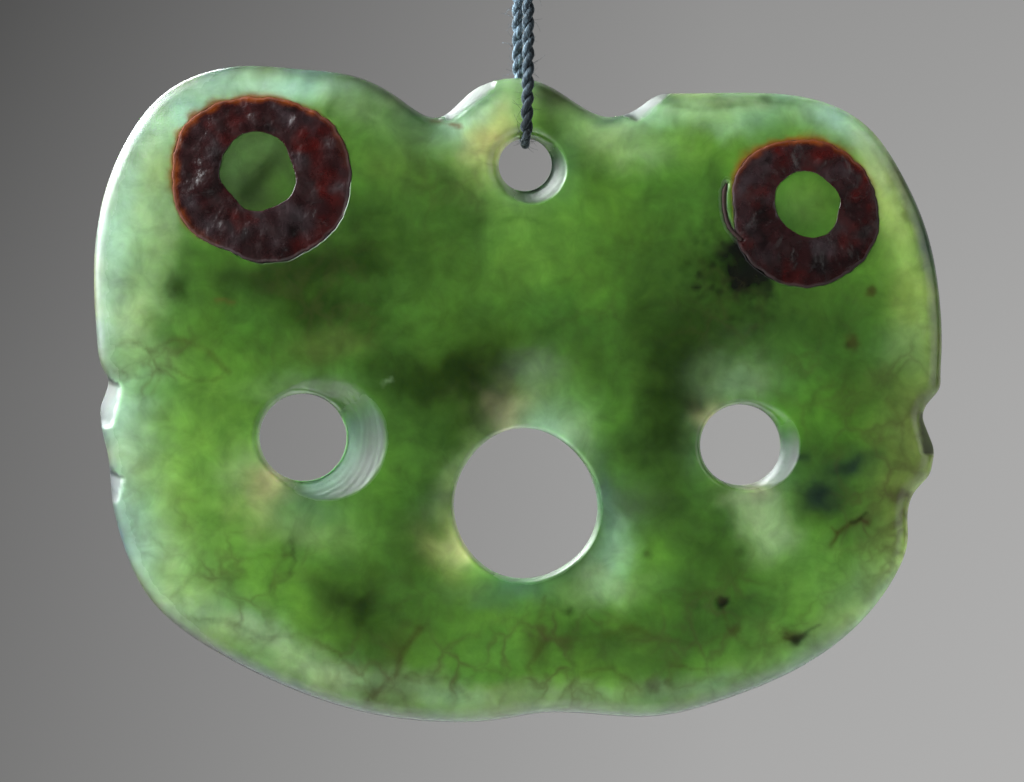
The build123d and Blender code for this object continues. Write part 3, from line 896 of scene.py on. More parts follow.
def layers(tones, base, count):
    """The tones in linear light, a sheet of one of them, and the call that lays another over it."""
    tones = {name: linear(colour) for name, colour in tones.items()}
    colours = np.tile(tones[base], (count, 1))

    def lay(tone, share):
        share = unit(share)[:, None]
        colours[:] = colours * (1 - share) + tones[tone] * share

    return tones, colours, lay


def lay_patches(lay, rows, px):
    for row in rows:
        patch = Patch(*row)
        turn = radians(patch.turn)
        arm = px - (patch.right, patch.down)
        across = (arm[:, 0] * cos(turn) + arm[:, 1] * sin(turn)) / patch.wide
        down = (arm[:, 1] * cos(turn) - arm[:, 0] * sin(turn)) / patch.high
        smoke = 1 + 0.45 * cloud(px, 30, 151 + patch.right % 7, 3)
        lay(patch.tone, np.exp(-((across**2 + down**2) ** 1.2)) * patch.strength * smoke)


def lay_arcs(lay, points, px):
    for row in ARCS:
        arc = Arc(*row)
        gap, angles = past_bore(points, BORES[arc.bore])
        turn = np.degrees(angles) - arc.middle + 12 * cloud(px, 40, 141, 2)
        turn = (turn + 180) % 360 - 180
        reach = arc.reach / PX_PER_MM * (1 + 0.4 * cloud(px, 24, 142, 2))
        near = np.exp(-((turn / arc.spread) ** 2) - (np.clip(gap, 0, None) / reach) ** 2)
        lay(arc.tone, near * arc.strength)


def lay_stain(lay, name, points):
    """The wax that stains the stone just outside a ring, mostly above it on the left."""
    _, past_edge = ring_span(points, name)
    gap = np.where(past_edge > 0.03, 9.0, np.clip(-past_edge, 0, None))
    start, spread = STAINS[name]
    side = unit(np.cos(polar(points, eye_centres[name])[1] - radians(start)) + spread)
    reach = 0.07 + 0.28 * side * (1 + 0.9 * cloud(points, 0.9, 131, 2))
    lay("amber", bell(gap, reach) * side * 0.95)
    lay("rust", bell(gap, reach * 0.6) * side * 0.5)


def stone_colours(points, side, from_outline):
    """The stone's tone at points on one face, in linear light."""
    px = PHOTO_MIDDLE + (mm_px(points) - PHOTO_MIDDLE) * FACE_SPREAD
    seed = 0 if side == FRONT else 40
    soft_px = px + (drift(px, 70, 101 + seed, 3) * 11 + drift(px, 20, 103 + seed, 3) * 7)
    fine_px = px + drift(px, 9, 105, 2) * 2.2
    _, colours, lay = layers(TONES, "leaf", len(px))
    lay("green", 0.5 + 0.7 * cloud(px, 120, 107, 2))
    lay_patches(lay, FIELDS, soft_px)
    # the thin margin, painted paler as a glow of light through the thin stone: wide and cool on the
    # left, yellow on the right, narrow and dull below
    left = unit((440 - px[:, 0]) / 300)
    right = unit((px[:, 0] - 780) / 100)
    low = unit((px[:, 1] - 612) / 40)
    width = 1.6 + 2.0 * left * (1 - low) + 0.5 * right + 0.4 * cloud(px, 90, 108, 2)
    margin = bell(from_outline, width)
    lay("lime", bell(from_outline, width * 1.8) * (0.75 - 0.3 * low))
    lay("straw", margin * (0.45 + 0.45 * right) * (1 - 0.6 * low))
    lay("mint", margin * (0.35 + 0.65 * left) * (1 - right) * (1 - low))
    lay("sage", margin * low * 0.75)
    lay_patches(lay, PATCHES, soft_px)
    lay_arcs(lay, points, soft_px)
    # painted shade and dark reflection: a dull teal rim along the lower and right edges, which face
    # away from the light
    lowness = unit((px[:, 1] - 560) / 80)
    rightness = unit((px[:, 0] - 888) / 20) * unit((340 - px[:, 1]) / 60)
    lay("teal", bell(from_outline, 0.45) * np.maximum(lowness, rightness) * 0.75)
    if side == FRONT:
        patchy = 0.75 + 0.45 * cloud(px, 22, 109, 2)
        for vein in map(Vein._make, VEINS):
            near = bell(run_distance(fine_px, vein.run), vein.width)
            lay(vein.tone, near * vein.strength * patchy)
        for name, core in core_centres.items():
            arm = polar(points, core)[0] / EYES[name].core_radius
            lay(CORE_TONES[name], bell(arm, 1.15, 8) * 0.9)
            lay_patches(lay, CORE_PATCHES[name], px)
            lay_stain(lay, name, points)
        uneven = 1 + 0.35 * cloud(px, 7, 110, 2)
        for speck in map(Speck._make, reversed(SPECKS)):
            arm = np.linalg.norm(fine_px - (speck.right, speck.down), axis=1) / speck.reach
            lay(speck.tone, np.exp(-((arm * uneven) ** 3)) * speck.strength)
    mottle = 1 + 0.24 * cloud(px, 46, 111 + seed, 3) + 0.12 * cloud(px, 13, 112 + seed, 3)
    warmth = 0.10 * cloud(px, 60, 113 + seed, 3)[:, None] * np.array([1.0, 0.2, -1.2])
    # rims catch more light than the faces, and the left side too
    clear = unit((np.abs(px[:, 1] - 285) - 115) / 30) * right
    caught = bell(from_outline, 0.90) * (0.45 + 0.33 * np.sqrt(left) - 0.10 * low - 1.1 * clear)
    thin = bell(from_outline, 0.40) * (0.10 * left + 0.25 * low)
    mottle = mottle * (1 - np.minimum(caught + thin, 0.92))
    light = 1 + 0.24 * unit((520 - px[:, 0]) / 420)
    return colours * (mottle[:, None] + warmth) / light[:, None]


def veined_share(points):
    """How strongly the fine net of cracks shows."""
    px = mm_px(points)
    px = px + drift(px, 60, 121, 2) * 16
    share = np.zeros(len(px))
    for right, down, wide, high, strength in VEINED_ZONES:
        arm = ((px[:, 0] - right) / wide) ** 2 + ((px[:, 1] - down) / high) ** 2
        share = np.maximum(share, strength * np.exp(-(arm**1.4)))
    return share


def wall_looks(points, side):
    """The tone of the flares' walls, painted lighter as a glow over most of the wall, and painted
    darker where they catch the most light.
    """
    shade = np.ones(len(points))
    for flare, centre, _ in flares_on(side):
        far, angles = polar(points, centre)
        far = far / flare.width
        facing = unit(np.cos(angles - radians(flare.turn)))
        outer = unit((far - 0.5) / flare.right) if side == FRONT else 0
        tone = 1.6 + facing * (0.9 - 2.3 * outer)
        shade = np.where(far < 1.1, tone if flare.bore == "left" else tone * 0.6, shade)
    return linear(TONES["wall"]) * shade[:, None]


def lip_light(points):
    """How much lighter the stone is painted at the left of a bore's edge, as painted glow where
    light comes through it, how much darker at the lower right of every bore but the left one, as
    painted shade where light falls on it, and how far that edge at the lower right is dull."""
    gain, dull = np.zeros(len(points)), np.zeros(len(points))
    for name, bore in BORES.items():
        gap, angles = past_bore(points, bore)
        gap = np.clip(gap, 0, None)
        gain += bell(gap, 0.45) * unit(-1.2 * np.cos(angles - radians(20)) - 0.1)
        if name != "left":
            lit = unit(1.6 * np.cos(angles - radians(-45)) - 0.4)
            gain -= bell(gap, 0.40) * lit * 0.90
            dull += bell(gap, 0.26) * lit
    return gain, dull


def side_looks(points, side, from_outline, worn, filed):
    """The colours of one face, and how far it is worn dull."""
    colours = stone_colours(points, side, from_outline)
    colours += (wall_looks(points, side) - colours) * (0.85 * unit(worn))[:, None]
    gain, dull = lip_light(points)
    # painted glow at the left of the bores' edges, and painted shade at the lower right of the
    # others and on the filed flats, which face the light
    colours *= (1 + 0.8 * gain - 0.78 * filed)[:, None]
    west = unit((240 - mm_px(points)[:, 0]) / 60)
    dull = np.maximum(dull, bell(from_outline, 1.0) * 0.55 * west)
    if side == FRONT:
        dull = np.maximum(dull, bell(run_distance(points, WAX_LINE), 0.36) * 0.8)
        for name in EYES:
            edge = bell(ring_span(points, name)[1], 0.06)
            dull = np.maximum(dull, 0.8 * edge)
            # painted shade on the ring's outer edge, whose wall catches the light
            colours *= (1 - 0.55 * edge)[:, None]
    return colours, np.maximum(np.maximum(worn, dull), filed * 0.9)


# Half the least height of a bore's wall, the levels of the wall's rows and how light they are.
LEAST_BORE_DEPTH = 0.18
WALL_LEVELS, WALL_LIGHT = (0.25, 0.5, 0.75), 1.25
STEPS = {FRONT: 0.26, BACK: 0.45}


def build_stone():
    rim_count = len(outline)
    vertices, colours, worn, faces = [], [], [], []
    for side in (FRONT, BACK):
        points, kinds, triangles, from_outline = side_mesh(side, STEPS[side])
        depth, wear, filed = half_thickness(points, side, from_outline)
        depth = np.where(kinds == GROOVE, depth - GROOVE_DEPTH, depth)
        depth = np.where(kinds == BORE, np.maximum(depth, LEAST_BORE_DEPTH), depth)
        depth = np.where(kinds == RIM, 0.0, depth)
        tone, wear = side_looks(points, side, from_outline, wear, filed)
        if side == FRONT:
            in_groove = np.sum(kinds[triangles] == GROOVE, axis=1)
            groove_walls = (in_groove > 0) & (in_groove < 3)
        # the two faces share the outline's points
        first = 0 if side == FRONT else rim_count
        offset = sum(len(v) for v in vertices) - first
        xyz = np.stack([points[:, 0], side * depth, points[:, 1]], axis=1)
        vertices.append(xyz[first:])
        colours.append(tone[first:])
        worn.append(wear[first:])
        index = np.where(triangles < rim_count, triangles, triangles + offset)
        faces += [tuple(f) for f in (index if side == FRONT else index[:, ::-1])]
    vertices, colours, worn = np.vstack(vertices), np.vstack(colours), np.concatenate(worn)
    # the bores' walls, between the two faces
    start, total = rim_count, len(vertices)
    more, more_colours, more_worn = [], [], []
    for loop in bore_loops.values():
        front = np.arange(start, start + len(loop))
        back = front + offset
        rows = [front]
        for share in WALL_LEVELS:
            level = vertices[front, 1] + (vertices[back, 1] - vertices[front, 1]) * share
            more.append(np.stack([loop[:, 0], level, loop[:, 1]], axis=1))
            tone = colours[front] * (1 - share) + colours[back] * share
            more_colours.append(tone * WALL_LIGHT)
            more_worn.append(worn[front] * (1 - share))
            rows.append(np.arange(total, total + len(loop)))
            total += len(loop)
        rows.append(back)
        for upper, lower in zip(rows, rows[1:]):
            faces += quads(upper, lower)
        start += len(loop)
    vertices = np.vstack([vertices, *more])
    stone = build_mesh("greenstone", vertices, faces, stone_material())
    # flat walls keep the grooves' edges crisp
    smooth = np.ones(len(stone.data.polygons), bool)
    smooth[: len(groove_walls)] = ~groove_walls
    stone.data.polygons.foreach_set("use_smooth", smooth)
    paint(stone, "tone", np.vstack([colours, *more_colours]))
    paint(stone, "worn", np.concatenate([worn, *more_worn]))
    paint(stone, "veined", veined_share(vertices[:, (0, 2)]))
    return stone


# ---- Materials
class Tree:
    """A node tree, and short ways to add nodes to it and to join them."""

    def __init__(self, owner):
        owner.use_nodes = True
        self.nodes, self.links = owner.node_tree.nodes, owner.node_tree.links

    def feed(self, node, inputs):
        """Sets a node's inputs to values, or links them where they are given a socket."""
        for name, value in inputs.items():
            if isinstance(value, bpy.types.NodeSocket):
                self.links.new(value, node.inputs[name])
            else:
                node.inputs[name].default_value = value
        return node

    def add(self, kind, inputs=()):
        return self.feed(self.nodes.new("ShaderNode" + kind), dict(inputs))

    def place(self):
        return self.add("TexCoord").outputs["Object"]

    def painted(self, name, output="Color"):
        node = self.add("Attribute")
        node.attribute_name = name
        return node.outputs[output]

    def noise(self, where, scale, detail=4.0, roughness=0.55, distortion=0.0, output="Fac"):
        inputs = {"Vector": where, "Scale": scale, "Detail": detail}
        inputs |= {"Roughness": roughness, "Distortion": distortion}
        return self.add("TexNoise", inputs).outputs[output]

    def ramp(self, value, *stops):
        """A colour, or a grey, for each value, by way of the stops."""
        node = self.add("ValToRGB", {"Fac": value})
        ramp = node.color_ramp
        while len(ramp.elements) < len(stops):
            ramp.elements.new(0.5)
        for element, (place, colour) in zip(ramp.elements, stops):
            element.position = place
            element.color = (*colour, 1.0) if isinstance(colour, tuple) else (*(colour,) * 3, 1.0)
        return node.outputs["Color"]

    def mix(self, kind, share, *colours):
        node = self.nodes.new("ShaderNodeMix")
        node.data_type = "RGBA"
        node.blend_type = kind
        a, b = ((*colour, 1.0) if isinstance(colour, tuple) else colour for colour in colours)
        return self.feed(node, {"Factor": share, 6: a, 7: b}).outputs[2]

    def times(self, a, b):
        return self.mix("MULTIPLY", 1.0, a, b)

    def bump(self, height, strength, distance, **under):
        inputs = {"Strength": strength, "Distance": distance, "Height": height, **under}
        return self.add("Bump", inputs).outputs["Normal"]


def new_material(name):
    material = bpy.data.materials.new(name)
    tree = Tree(material)
    return material, tree, tree.nodes["Principled BSDF"]


def stone_material():
    material, tree, shader = new_material("greenstone")
    where = tree.place()
    mottle = tree.ramp(tree.noise(where, 420, 5.0, 0.62, 0.6), (0.30, 0.80), (0.70, 1.18))
    colour = tree.times(tree.painted("tone"), mottle)
    # thin brown cracks through the stone, only where the broad noise lets them
    twist = tree.noise(where, 260, 3.0, output="Color")
    bent = tree.mix("LINEAR_LIGHT", 0.0035, where, twist)
    cells = tree.add("TexVoronoi", {"Scale": 300, "Vector": bent})
    cells.feature = "DISTANCE_TO_EDGE"
    from_edge = cells.outputs["Distance"]
    colour = tree.times(colour, tree.ramp(from_edge, (0.0, 0.90), (0.42, 1.09)))
    crack = tree.ramp(from_edge, (0.0, 1.0), (0.15, 0.0))
    zone = tree.ramp(tree.noise(where, 190, 2.0), (0.38, 0.0), (0.62, 0.62))
    share = tree.times(tree.times(crack, zone), tree.painted("veined"))
    rough = tree.ramp(tree.noise(where, 900, 4.0), (0.3, 0.15), (0.7, 0.25))
    swell = tree.bump(tree.noise(where, 330, 3.0), 0.35, 0.0003)
    tree.feed(shader, {
        "Base Color": tree.mix("MIX", share, colour, (0.070, 0.056, 0.020)),
        "Subsurface Weight": 1.0,
        "Subsurface Radius": (0.9, 1.3, 0.7),
        "Subsurface Scale": 0.0004,
        "Roughness": tree.mix("MIX", tree.painted("worn", "Fac"), rough, (0.62, 0.62, 0.62)),
        "IOR": 1.61,
        "Normal": tree.bump(tree.noise(where, 2600, 4.0, 0.6), 0.25, 0.00004, Normal=swell),
    })
    return material


stone = build_stone()
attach(stone, "pendant")
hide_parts("greenstone_plate")

# ---- The wax in the eyes
WAX_TONES = {
    "wax": (38, 25, 27), "clot": (26, 22, 24), "red": (54, 22, 22), "amber": (102, 50, 8),
    "bloom": (48, 40, 43),
}
WAX_TURNS = 300
WAX_ROWS = (
    0.0, 0.012, 0.04, 0.09, 0.16, 0.24, 0.32, 0.40, 0.48, 0.56, 0.64, 0.72, 0.80, 0.87, 0.93, 0.97,
    1.0,
)
# How far the wax laps over the groove's edges, and where it leaves the outer one bare, in degrees.
WAX_LAP = 0.07
BARE_SIDE = {"left": -48, "right": -140}
# Where the wax shows amber: the middle of that side in degrees, the gain and the spread.
AMBER_SIDE = {"left": (125, 0.9, 0.45), "right": (95, 1.6, -0.5)}
WAX_LINE_RADIUS, WAX_LINE_STEP, WAX_LINE_HEIGHT = 0.17, 0.12, 0.06


def wax_level(points):
    """How far the face of the stone lies from mid thickness, before its grooves are cut."""
    return half_thickness(points, FRONT, distance_to(points, outline_fine))[0]


def upright(points, heights):
    """Points on the plate as places in space, each as far towards the front as its height."""
    return np.stack([points[:, 0], -heights, points[:, 1]], axis=1)


def wax_ring(name, seed):
    """The lumpy ring of wax that fills an eye's groove and lies a little over its edge."""
    angles = steps_round(WAX_TURNS)
    core, edge = ring_edges(name)
    bare = unit(np.cos(angles - radians(BARE_SIDE[name])) * 2.2 - 1.0)
    ragged = 0.13 * cloud(6 * spokes(angles), 0.8, seed + 3, 2)
    inner = loop_at(core[0], angles, *core[1:], more=-WAX_LAP)
    outer = loop_at(edge[0], angles, *edge[1:], more=WAX_LAP - 0.11 * bare + ragged)
    spots, heights, shares = [], [], []

    def add(spot, height, share):
        spots.append(spot)
        heights.append(height)
        shares.append(np.full(WAX_TURNS, share))

    for share in WAX_ROWS:
        spot = inner + (outer - inner) * share
        crown = np.sqrt(unit(np.sin(pi * share)))
        lumps = 0.15 * cloud(spot, 1.7, seed + 1, 2) + 0.07 * cloud(spot, 0.62, seed + 2, 2)
        level = wax_level(spot) + 0.03 - 0.05 * bare * share
        add(spot, level + crown * (0.01 + lumps), share)
    inset = ((outer, edge, -0.03, 1.0), (inner, core, 0.03, 0.0))
    for (lip, (centre, *form), more, share), order in zip(inset, (1, -1)):
        foot = loop_at(centre, angles, *form, more=more - 0.10 * bare * share)
        level = wax_level(foot)
        lower = [
            (lip, wax_level(lip) + 0.008 - 0.05 * bare * share),
            (foot, level - 0.02),
            (foot, level - GROOVE_DEPTH + 0.03),
        ]
        for spot, height in lower[::order]:
            add(spot, height, share)
    spots = np.concatenate(spots)
    rows = np.arange(len(spots)).reshape(-1, WAX_TURNS)
    faces = []
    for upper, lower in zip(rows, np.roll(rows, -1, axis=0)):
        faces += [(a, d, c, b) for a, b, c, d in quads(upper, lower)]
    vertices = upright(spots, np.concatenate(heights))
    return vertices, faces, spots, np.concatenate(shares), np.tile(angles, len(rows))


def wax_eye(name, seed):
    vertices, faces, spots, share, angles = wax_ring(name, seed)
    px = mm_px(spots)
    tones, colours, lay = layers(WAX_TONES, "wax", len(spots))
    lay("bloom", 1.44 * cloud(px, 26, seed + 5, 2))
    lay("clot", 2.2 * cloud(px, 19, seed + 6, 3) - 0.25)
    lay("red", 2.4 * cloud(px, 30, seed + 7, 3) - 0.35)
    turn, gain, spread = AMBER_SIDE[name]
    amber = unit(np.cos(angles - radians(turn)) * gain + spread)
    ragged = share + 0.07 * cloud(px, 11, seed + 4, 2)
    lay("red", unit((ragged - 0.80) / 0.14) * (0.25 + 0.5 * amber))
    lay("amber", unit((ragged - 0.86) / 0.12) * amber)
    lay("red", unit((0.06 - share) / 0.06) * 0.35)
    # painted light and shade: the wax is lighter towards the top of the ring and darker towards the
    # bottom
    rise = (spots[:, 1] - eye_centres[name][1]) / EYES[name].radius
    colours *= (1 + 0.20 * rise)[:, None]
    if name == "right":
        route = even_line(np.array(WAX_LINE), WAX_LINE_STEP)
        taper = unit(0.35 + np.linspace(0, 1, len(route)) * 6)
        radii = WAX_LINE_RADIUS * taper * (1 + 0.18 * cloud(route, 0.7, seed + 9, 2))
        line = tube(upright(route, wax_level(route) + WAX_LINE_HEIGHT), radii)
        vertices, faces = joined([(vertices, faces), line])
        blot = 0.7 * unit(0.5 + 1.2 * cloud(mm_px(line[0][:, (0, 2)]), 12, seed + 8, 2))[:, None]
        tone = tones["amber"] * 0.12 + tones["clot"] * 0.88
        colours = np.vstack([colours, tone * (1 - blot) + tones["wax"] * blot])
    piece = build_mesh("eye_wax_" + name, vertices, faces, wax)
    paint(piece, "tone", colours)
    dull = np.ones(len(vertices))
    dull[: len(share)] = unit((share - 0.93) / 0.05)
    paint(piece, "worn", dull)
    return piece


def wax_material():
    material, tree, shader = new_material("sealing_wax")
    where = tree.place()
    fleck = tree.ramp(tree.noise(where, 1500, 4.0, 0.6), (0.3, 0.72), (0.7, 1.3))
    rough = tree.ramp(tree.noise(where, 700, 3.0), (0.35, 0.18), (0.65, 0.36))
    lumps = tree.bump(tree.noise(where, 800, 3.0), 0.7, 0.00022)
    tree.feed(shader, {
        "Base Color": tree.times(tree.painted("tone"), fleck),
        "Roughness": tree.mix("MIX", tree.painted("worn", "Fac"), rough, (0.78, 0.78, 0.78)),
        "IOR": 1.48,
        "Normal": tree.bump(tree.noise(where, 2400, 4.0, 0.65), 0.5, 0.00007, Normal=lumps),
    })
    return material


wax = wax_material()
for name, seed in (("left", 201), ("right", 301)):
    piece = wax_eye(name, seed)
    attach(piece, "pendant")
    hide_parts("eye_inlay_" + name)


# ---- The yarn: the route's points from the part's source, in metres, the bore's two moved out
ROUTE = (
    (-0.00010, 0.00220, -0.0152),
    (-0.00010, 0.00220, -0.0265),
    (-0.00042, 0.00242, -0.0390),
    (-0.00064, 0.00272, -0.0495),
    (-0.00005, 0.00350, -0.05585),
    (0.00006, -0.00350, -0.05585),
    (0.00026, -0.00278, -0.0495),
    (0.00014, -0.00250, -0.0390),
    (0.00010, -0.00230, -0.0230),
    (-0.00002, -0.00215, -0.0065),
    (0.00000, -0.00210, 0.0005),
    (0.00000, 0.00210, 0.0005),
    (-0.00010, 0.00220, -0.0055),
    (-0.00010, 0.00220, -0.0120),
)
YARN_STEP = 0.22
PLY_RADIUS, PLY_ORBIT, PLY_PITCH, PLY_TAPER = 0.295, 0.205, 2.3, 0.6
# The bore's edge squeezes the yarn by this share, this far from mid thickness and this low.
SQUEEZE, SQUEEZE_Y, SQUEEZE_Z = 0.30, 2.9, -54.5
# The loose fibres: how many stand off the loop and off each of the knot's lines, from how far out,
# and how thick they are at the root and at the tip.
HAIRS, KNOT_HAIRS, HAIR_ROOT = 1100, 26, 0.40
HAIR_RADII = np.linspace(0.013, 0.007, 6)
# The knot's middle, the radius and height of its turns, and its tails' corners from the middle.
KNOT_MIDDLE = np.array([-0.10, 2.20, -13.6])
KNOT_RADIUS, KNOT_RISE, KNOT_CORE, KNOT_TURNS = 0.90, 1.12, 1.6, 2.5
TAILS = (
    ((0.55, 0.5, 1.2), (1.15, 0.7, 0.6), (1.45, 0.9, -0.8), (1.35, 1.1, -3.0), (1.6, 1.0, -4.6)),
    ((-0.5, 0.5, -1.0), (-1.1, 0.8, -1.3), (-1.4, 1.0, -2.4), (-1.2, 0.9, -3.9), (-1.5, 1.2, -5.2)),
)


def route_points(corners):
    """Points along the smooth line that the corners steer."""
    curve = bpy.data.curves.new("route", "CURVE")
    curve.dimensions = "3D"
    spline = curve.splines.new("NURBS")
    spline.points.add(len(corners) - 1)
    for point, corner in zip(spline.points, corners):
        point.co = (*corner, 1.0)
    spline.order_u = 3
    spline.use_endpoint_u = True
    spline.resolution_u = 24
    holder = bpy.data.objects.new("route", curve)
    mesh = bpy.data.meshes.new_from_object(holder)
    points = np.array([vertex.co[:] for vertex in mesh.vertices])
    bpy.data.objects.remove(holder)
    bpy.data.meshes.remove(mesh)
    bpy.data.curves.remove(curve)
    return points


def frames_along(centres):
    """Tangent, normal and side at each point, without twist."""
    tangents = tangents_of(centres)
    normal = np.array([1.0, 0.0, 0.0])
    normals = []
    for tangent in tangents:
        normal = normal - tangent * (normal @ tangent)
        normal /= np.linalg.norm(normal)
        normals.append(normal)
    normals = np.array(normals)
    return tangents, normals, np.cross(tangents, normals)


def two_ply(centres, seed, end=1.0):
    """Vertices and faces of two plies twisted round each other along centres, with the share of
    their size that they have at the ends."""
    along = run_length(centres)
    _, normals, sides = frames_along(centres)
    taper = unit(end + np.minimum(along, along[-1] - along) / PLY_TAPER)
    in_bore = unit((SQUEEZE_Y - np.abs(centres[:, 1])) / 0.8) * unit(SQUEEZE_Z - centres[:, 2])
    taper = taper * (1 - SQUEEZE * in_bore)
    plies = []
    for ply in (0, 1):
        uneven = cloud(np.stack([along, along * 0 + ply * 9], axis=1), 1.3, seed + ply, 2)
        phase = spokes(2 * pi * along / PLY_PITCH + pi * ply + 0.25 * uneven)
        orbit = phase[:, :1] * normals + phase[:, 1:] * sides
        line = centres + PLY_ORBIT * taper[:, None] * orbit
        plies.append(tube(line, PLY_RADIUS * taper * (1 + 0.07 * uneven)))
    return joined(plies)


def hairs(centres, count, seed, reach=(0.35, 1.5)):
    """Short curved fibres that stand off the yarn."""
    random = np.random.default_rng(seed)
    tangents, normals, sides = frames_along(centres)
    share = np.linspace(0, 1, len(HAIR_RADII))[:, None]
    fibres = []
    for _ in range(count):
        i = int(random.integers(2, len(centres) - 2))
        angle = random.uniform(0, 2 * pi)
        out = cos(angle) * normals[i] + sin(angle) * sides[i]
        way = out + tangents[i] * random.uniform(-1.3, 1.3)
        way /= np.linalg.norm(way)
        length = random.uniform(*reach) * random.uniform(0.4, 1.0)
        curl = np.cross(way, random.normal(size=3)) * random.uniform(0.2, 0.9)
        line = centres[i] + out * HAIR_ROOT + length * (way * share + curl * share**2 * 0.5)
        fibres.append(tube(line, HAIR_RADII, 3))
    return joined(fibres)


def yarn_material():
    material, tree, shader = new_material("yarn")
    where = tree.place()
    lie = {"Scale": (1.0, 1.0, 0.28), "Rotation": (0.0, radians(24), 0.0), "Vector": where}
    fibre = tree.noise(tree.add("Mapping", lie).outputs["Vector"], 5200, 3.0, 0.6, 0.4)
    dark, middle, pale = (0.005, 0.007, 0.009), (0.020, 0.030, 0.040), (0.12, 0.17, 0.21)
    colour = tree.ramp(fibre, (0.32, dark), (0.50, middle), (0.72, pale))
    shade = tree.ramp(tree.noise(where, 900, 2.0), (0.3, 0.7), (0.7, 1.2))
    colour = tree.times(colour, shade)
    tree.feed(shader, {
        "Base Color": tree.times(colour, tree.painted("tone")),
        "Roughness": 0.85,
        "Specular IOR Level": 0.2,
        "Sheen Weight": 0.25,
        "Sheen Roughness": 0.5,
        "Sheen Tint": (0.62, 0.76, 0.86, 1.0),
        "Normal": tree.bump(fibre, 0.9, 0.00012),
    })
    return material


def yarn_shade(points):
    """Painted light and shade on the yarn: the front strand is darker at its right side, away from
    the light, and towards the bore, and the back strand is lighter, as lit.
    """
    front = path[path[:, 1] < 0]
    front = front[np.argsort(front[:, 2])]
    right = points[:, 0] - np.interp(points[:, 2], front[:, 2], front[:, 0])
    side = 1 - 0.70 * unit((right + 0.10) / 0.40) * unit(-points[:, 1])
    low = 1 - 0.80 * unit((-50.6 - points[:, 2]) / 3.2)
    back = 1 + 0.9 * unit(points[:, 1])
    return 1.2 * side * low * back


def knot_lines():
    """The lines of the knot's turns, of the yarn inside them, and of two short tails."""
    share = np.linspace(0, 1, 90)
    ring = KNOT_RADIUS * spokes(2 * pi * KNOT_TURNS * share)
    turns = np.column_stack([ring, KNOT_RISE * (1 - 2 * share)])
    core = np.column_stack([0 * ring, KNOT_CORE * (1 - 2 * share)])
    tails = [route_points((KNOT_MIDDLE + corners) * MM) / MM for corners in TAILS]
    return [KNOT_MIDDLE + turns, KNOT_MIDDLE + core, *(even_line(tail, 0.2) for tail in tails)]


yarn = yarn_material()
path = even_line(route_points(ROUTE) / MM, YARN_STEP)
thread = build_mesh("yarn_loop", *two_ply(path, 401), yarn)
fuzz = build_mesh("yarn_fuzz", *hairs(path, HAIRS, 402), yarn)
lines = knot_lines()
parts = [two_ply(line, 411 + i, 0.3) for i, line in enumerate(lines)]
parts += [hairs(line, KNOT_HAIRS, 421 + i, (0.3, 1.2)) for i, line in enumerate(lines) if i != 1]
knot = build_mesh("yarn_knot", *joined(parts), yarn)
for piece, node in ((thread, "hanging_thread"), (fuzz, None), (knot, "thread_knot")):
    places = np.array([vertex.co[:] for vertex in piece.data.vertices]) / MM
    paint(piece, "tone", yarn_shade(places))
    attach(piece, "thread_loop")
    if node:
        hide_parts(node)

# ---- Stage, light and camera
scene.view_settings.view_transform = "Standard"
STAGE_HALF, STAGE_LOW, STAGE_HIGH, STAGE_FAR = 1500.0, -330.0, 1400.0, 700.0
PLATE_MIDDLE = (-0.6, 0.0, -75.3)
LIGHT_SPREAD = radians(110)


def stage_sheet(material, near, far):
    """A flat sheet as wide as the stage, from its near or low edge to its far or high one."""
    corners = [(side * STAGE_HALF, *edge) for side, edge in
               ((-1, near), (1, near), (1, far), (-1, far))]
    build_mesh(material.name, np.array(corners), [range(4)], material)


def backdrop():
    """A sheet far behind, dark at the upper left and pale at the right, as in the photograph."""
    # painted light: the sheet glows by its own emission, dark at the upper left and pale at the
    # right
    material = bpy.data.materials.new("stage_backdrop")
    tree = Tree(material)
    tree.nodes.clear()
    split = tree.add("SeparateXYZ", {0: tree.place()})
    parts = []
    for socket, start, end, stops in (
        ("X", -0.150, 0.150, ((0.0, 0.080), (0.30, 0.166), (0.70, 0.288), (1.0, 0.326))),
        ("Z", -0.190, 0.040, ((0.0, 0.110), (0.5, 0.072), (1.0, 0.0))),
    ):
        span = {"From Min": start, "From Max": end, "Value": split.outputs[socket]}
        stops = [(place, (value, value * 0.995, value * 0.985)) for place, value in stops]
        parts.append(tree.ramp(tree.add("MapRange", span).outputs["Result"], *stops))
    glow = tree.add("Emission", {"Color": tree.mix("ADD", 1.0, *parts)})
    tree.add("OutputMaterial", {"Surface": glow.outputs["Emission"]})
    stage_sheet(material, (STAGE_FAR, STAGE_LOW), (STAGE_FAR, STAGE_HIGH))


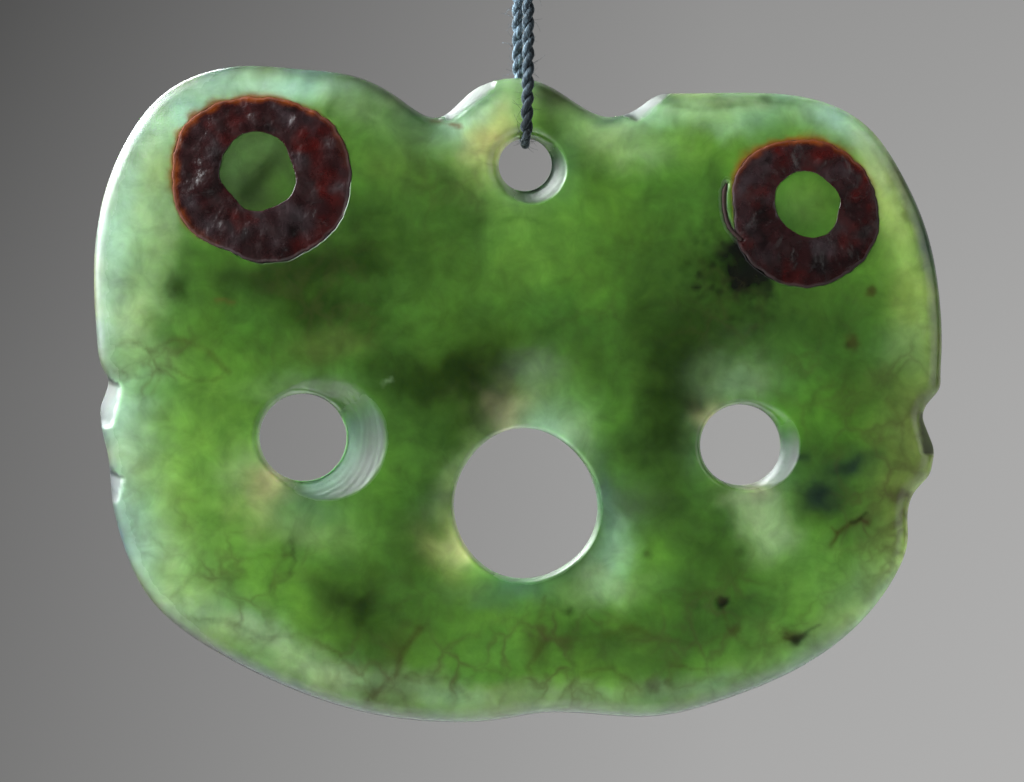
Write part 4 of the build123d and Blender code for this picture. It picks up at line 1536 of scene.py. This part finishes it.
def floor():
    material, tree, shader = new_material("stage_floor")
    tree.feed(shader, {"Base Color": (0.72, 0.72, 0.71, 1.0), "Roughness": 0.7})
    stage_sheet(material, (-STAGE_HALF, STAGE_LOW), (STAGE_HALF, STAGE_LOW))


def area_light(name, place, size, power, colour):
    """A square light that looks at the plate's middle."""
    data = bpy.data.lights.new(name, "AREA")
    data.shape = "RECTANGLE"
    data.size = data.size_y = size * MM
    data.energy = power
    data.color = colour
    data.spread = LIGHT_SPREAD
    lamp = bpy.data.objects.new(name, data)
    lamp.location = [c * MM for c in place]
    way = (Vector(PLATE_MIDDLE) - Vector(place)).normalized()
    lamp.rotation_euler = way.to_track_quat("-Z", "Y").to_euler()
    lamp.visible_camera = False
    scene.collection.objects.link(lamp)


backdrop()
floor()
area_light("key", (-520, -200, 240), 420, 4.4, (0.94, 0.99, 1.0))
area_light("side", (-420, 30, 60), 240, 1.5, (0.88, 0.96, 1.0))
area_light("behind", (-260, 280, 170), 300, 2.4, (0.94, 0.99, 1.0))
area_light("right", (700, -420, 60), 900, 1.0, (1.0, 1.0, 0.97))

# what lights the stage from all round is dim, and what the camera sees past the stage is pale
world = bpy.data.worlds.new("world")
tree = Tree(world)
room = tree.feed(tree.nodes["Background"], {"Color": (0.62, 0.64, 0.66, 1.0), "Strength": 0.10})
pale = tree.add("Background", {"Color": (0.60, 0.61, 0.62, 1.0)})
seen = tree.add("LightPath").outputs["Is Camera Ray"]
either = {"Fac": seen, 1: room.outputs["Background"], 2: pale.outputs["Background"]}
either = tree.add("MixShader", either)
tree.feed(tree.nodes["World Output"], {"Surface": either.outputs["Shader"]})
scene.world = world

CAMERA_PLACE = (-1.03, -266.0, -75.06)
lens_data = bpy.data.cameras.new("camera")
lens_data.lens = 120.0
lens_data.sensor_width = 36.0
lens_data.clip_start, lens_data.clip_end = 0.01, 20.0
camera = bpy.data.objects.new("camera", lens_data)
camera.location = [c * MM for c in CAMERA_PLACE]
camera.rotation_euler = (radians(90), 0, 0)
scene.collection.objects.link(camera)
scene.camera = camera
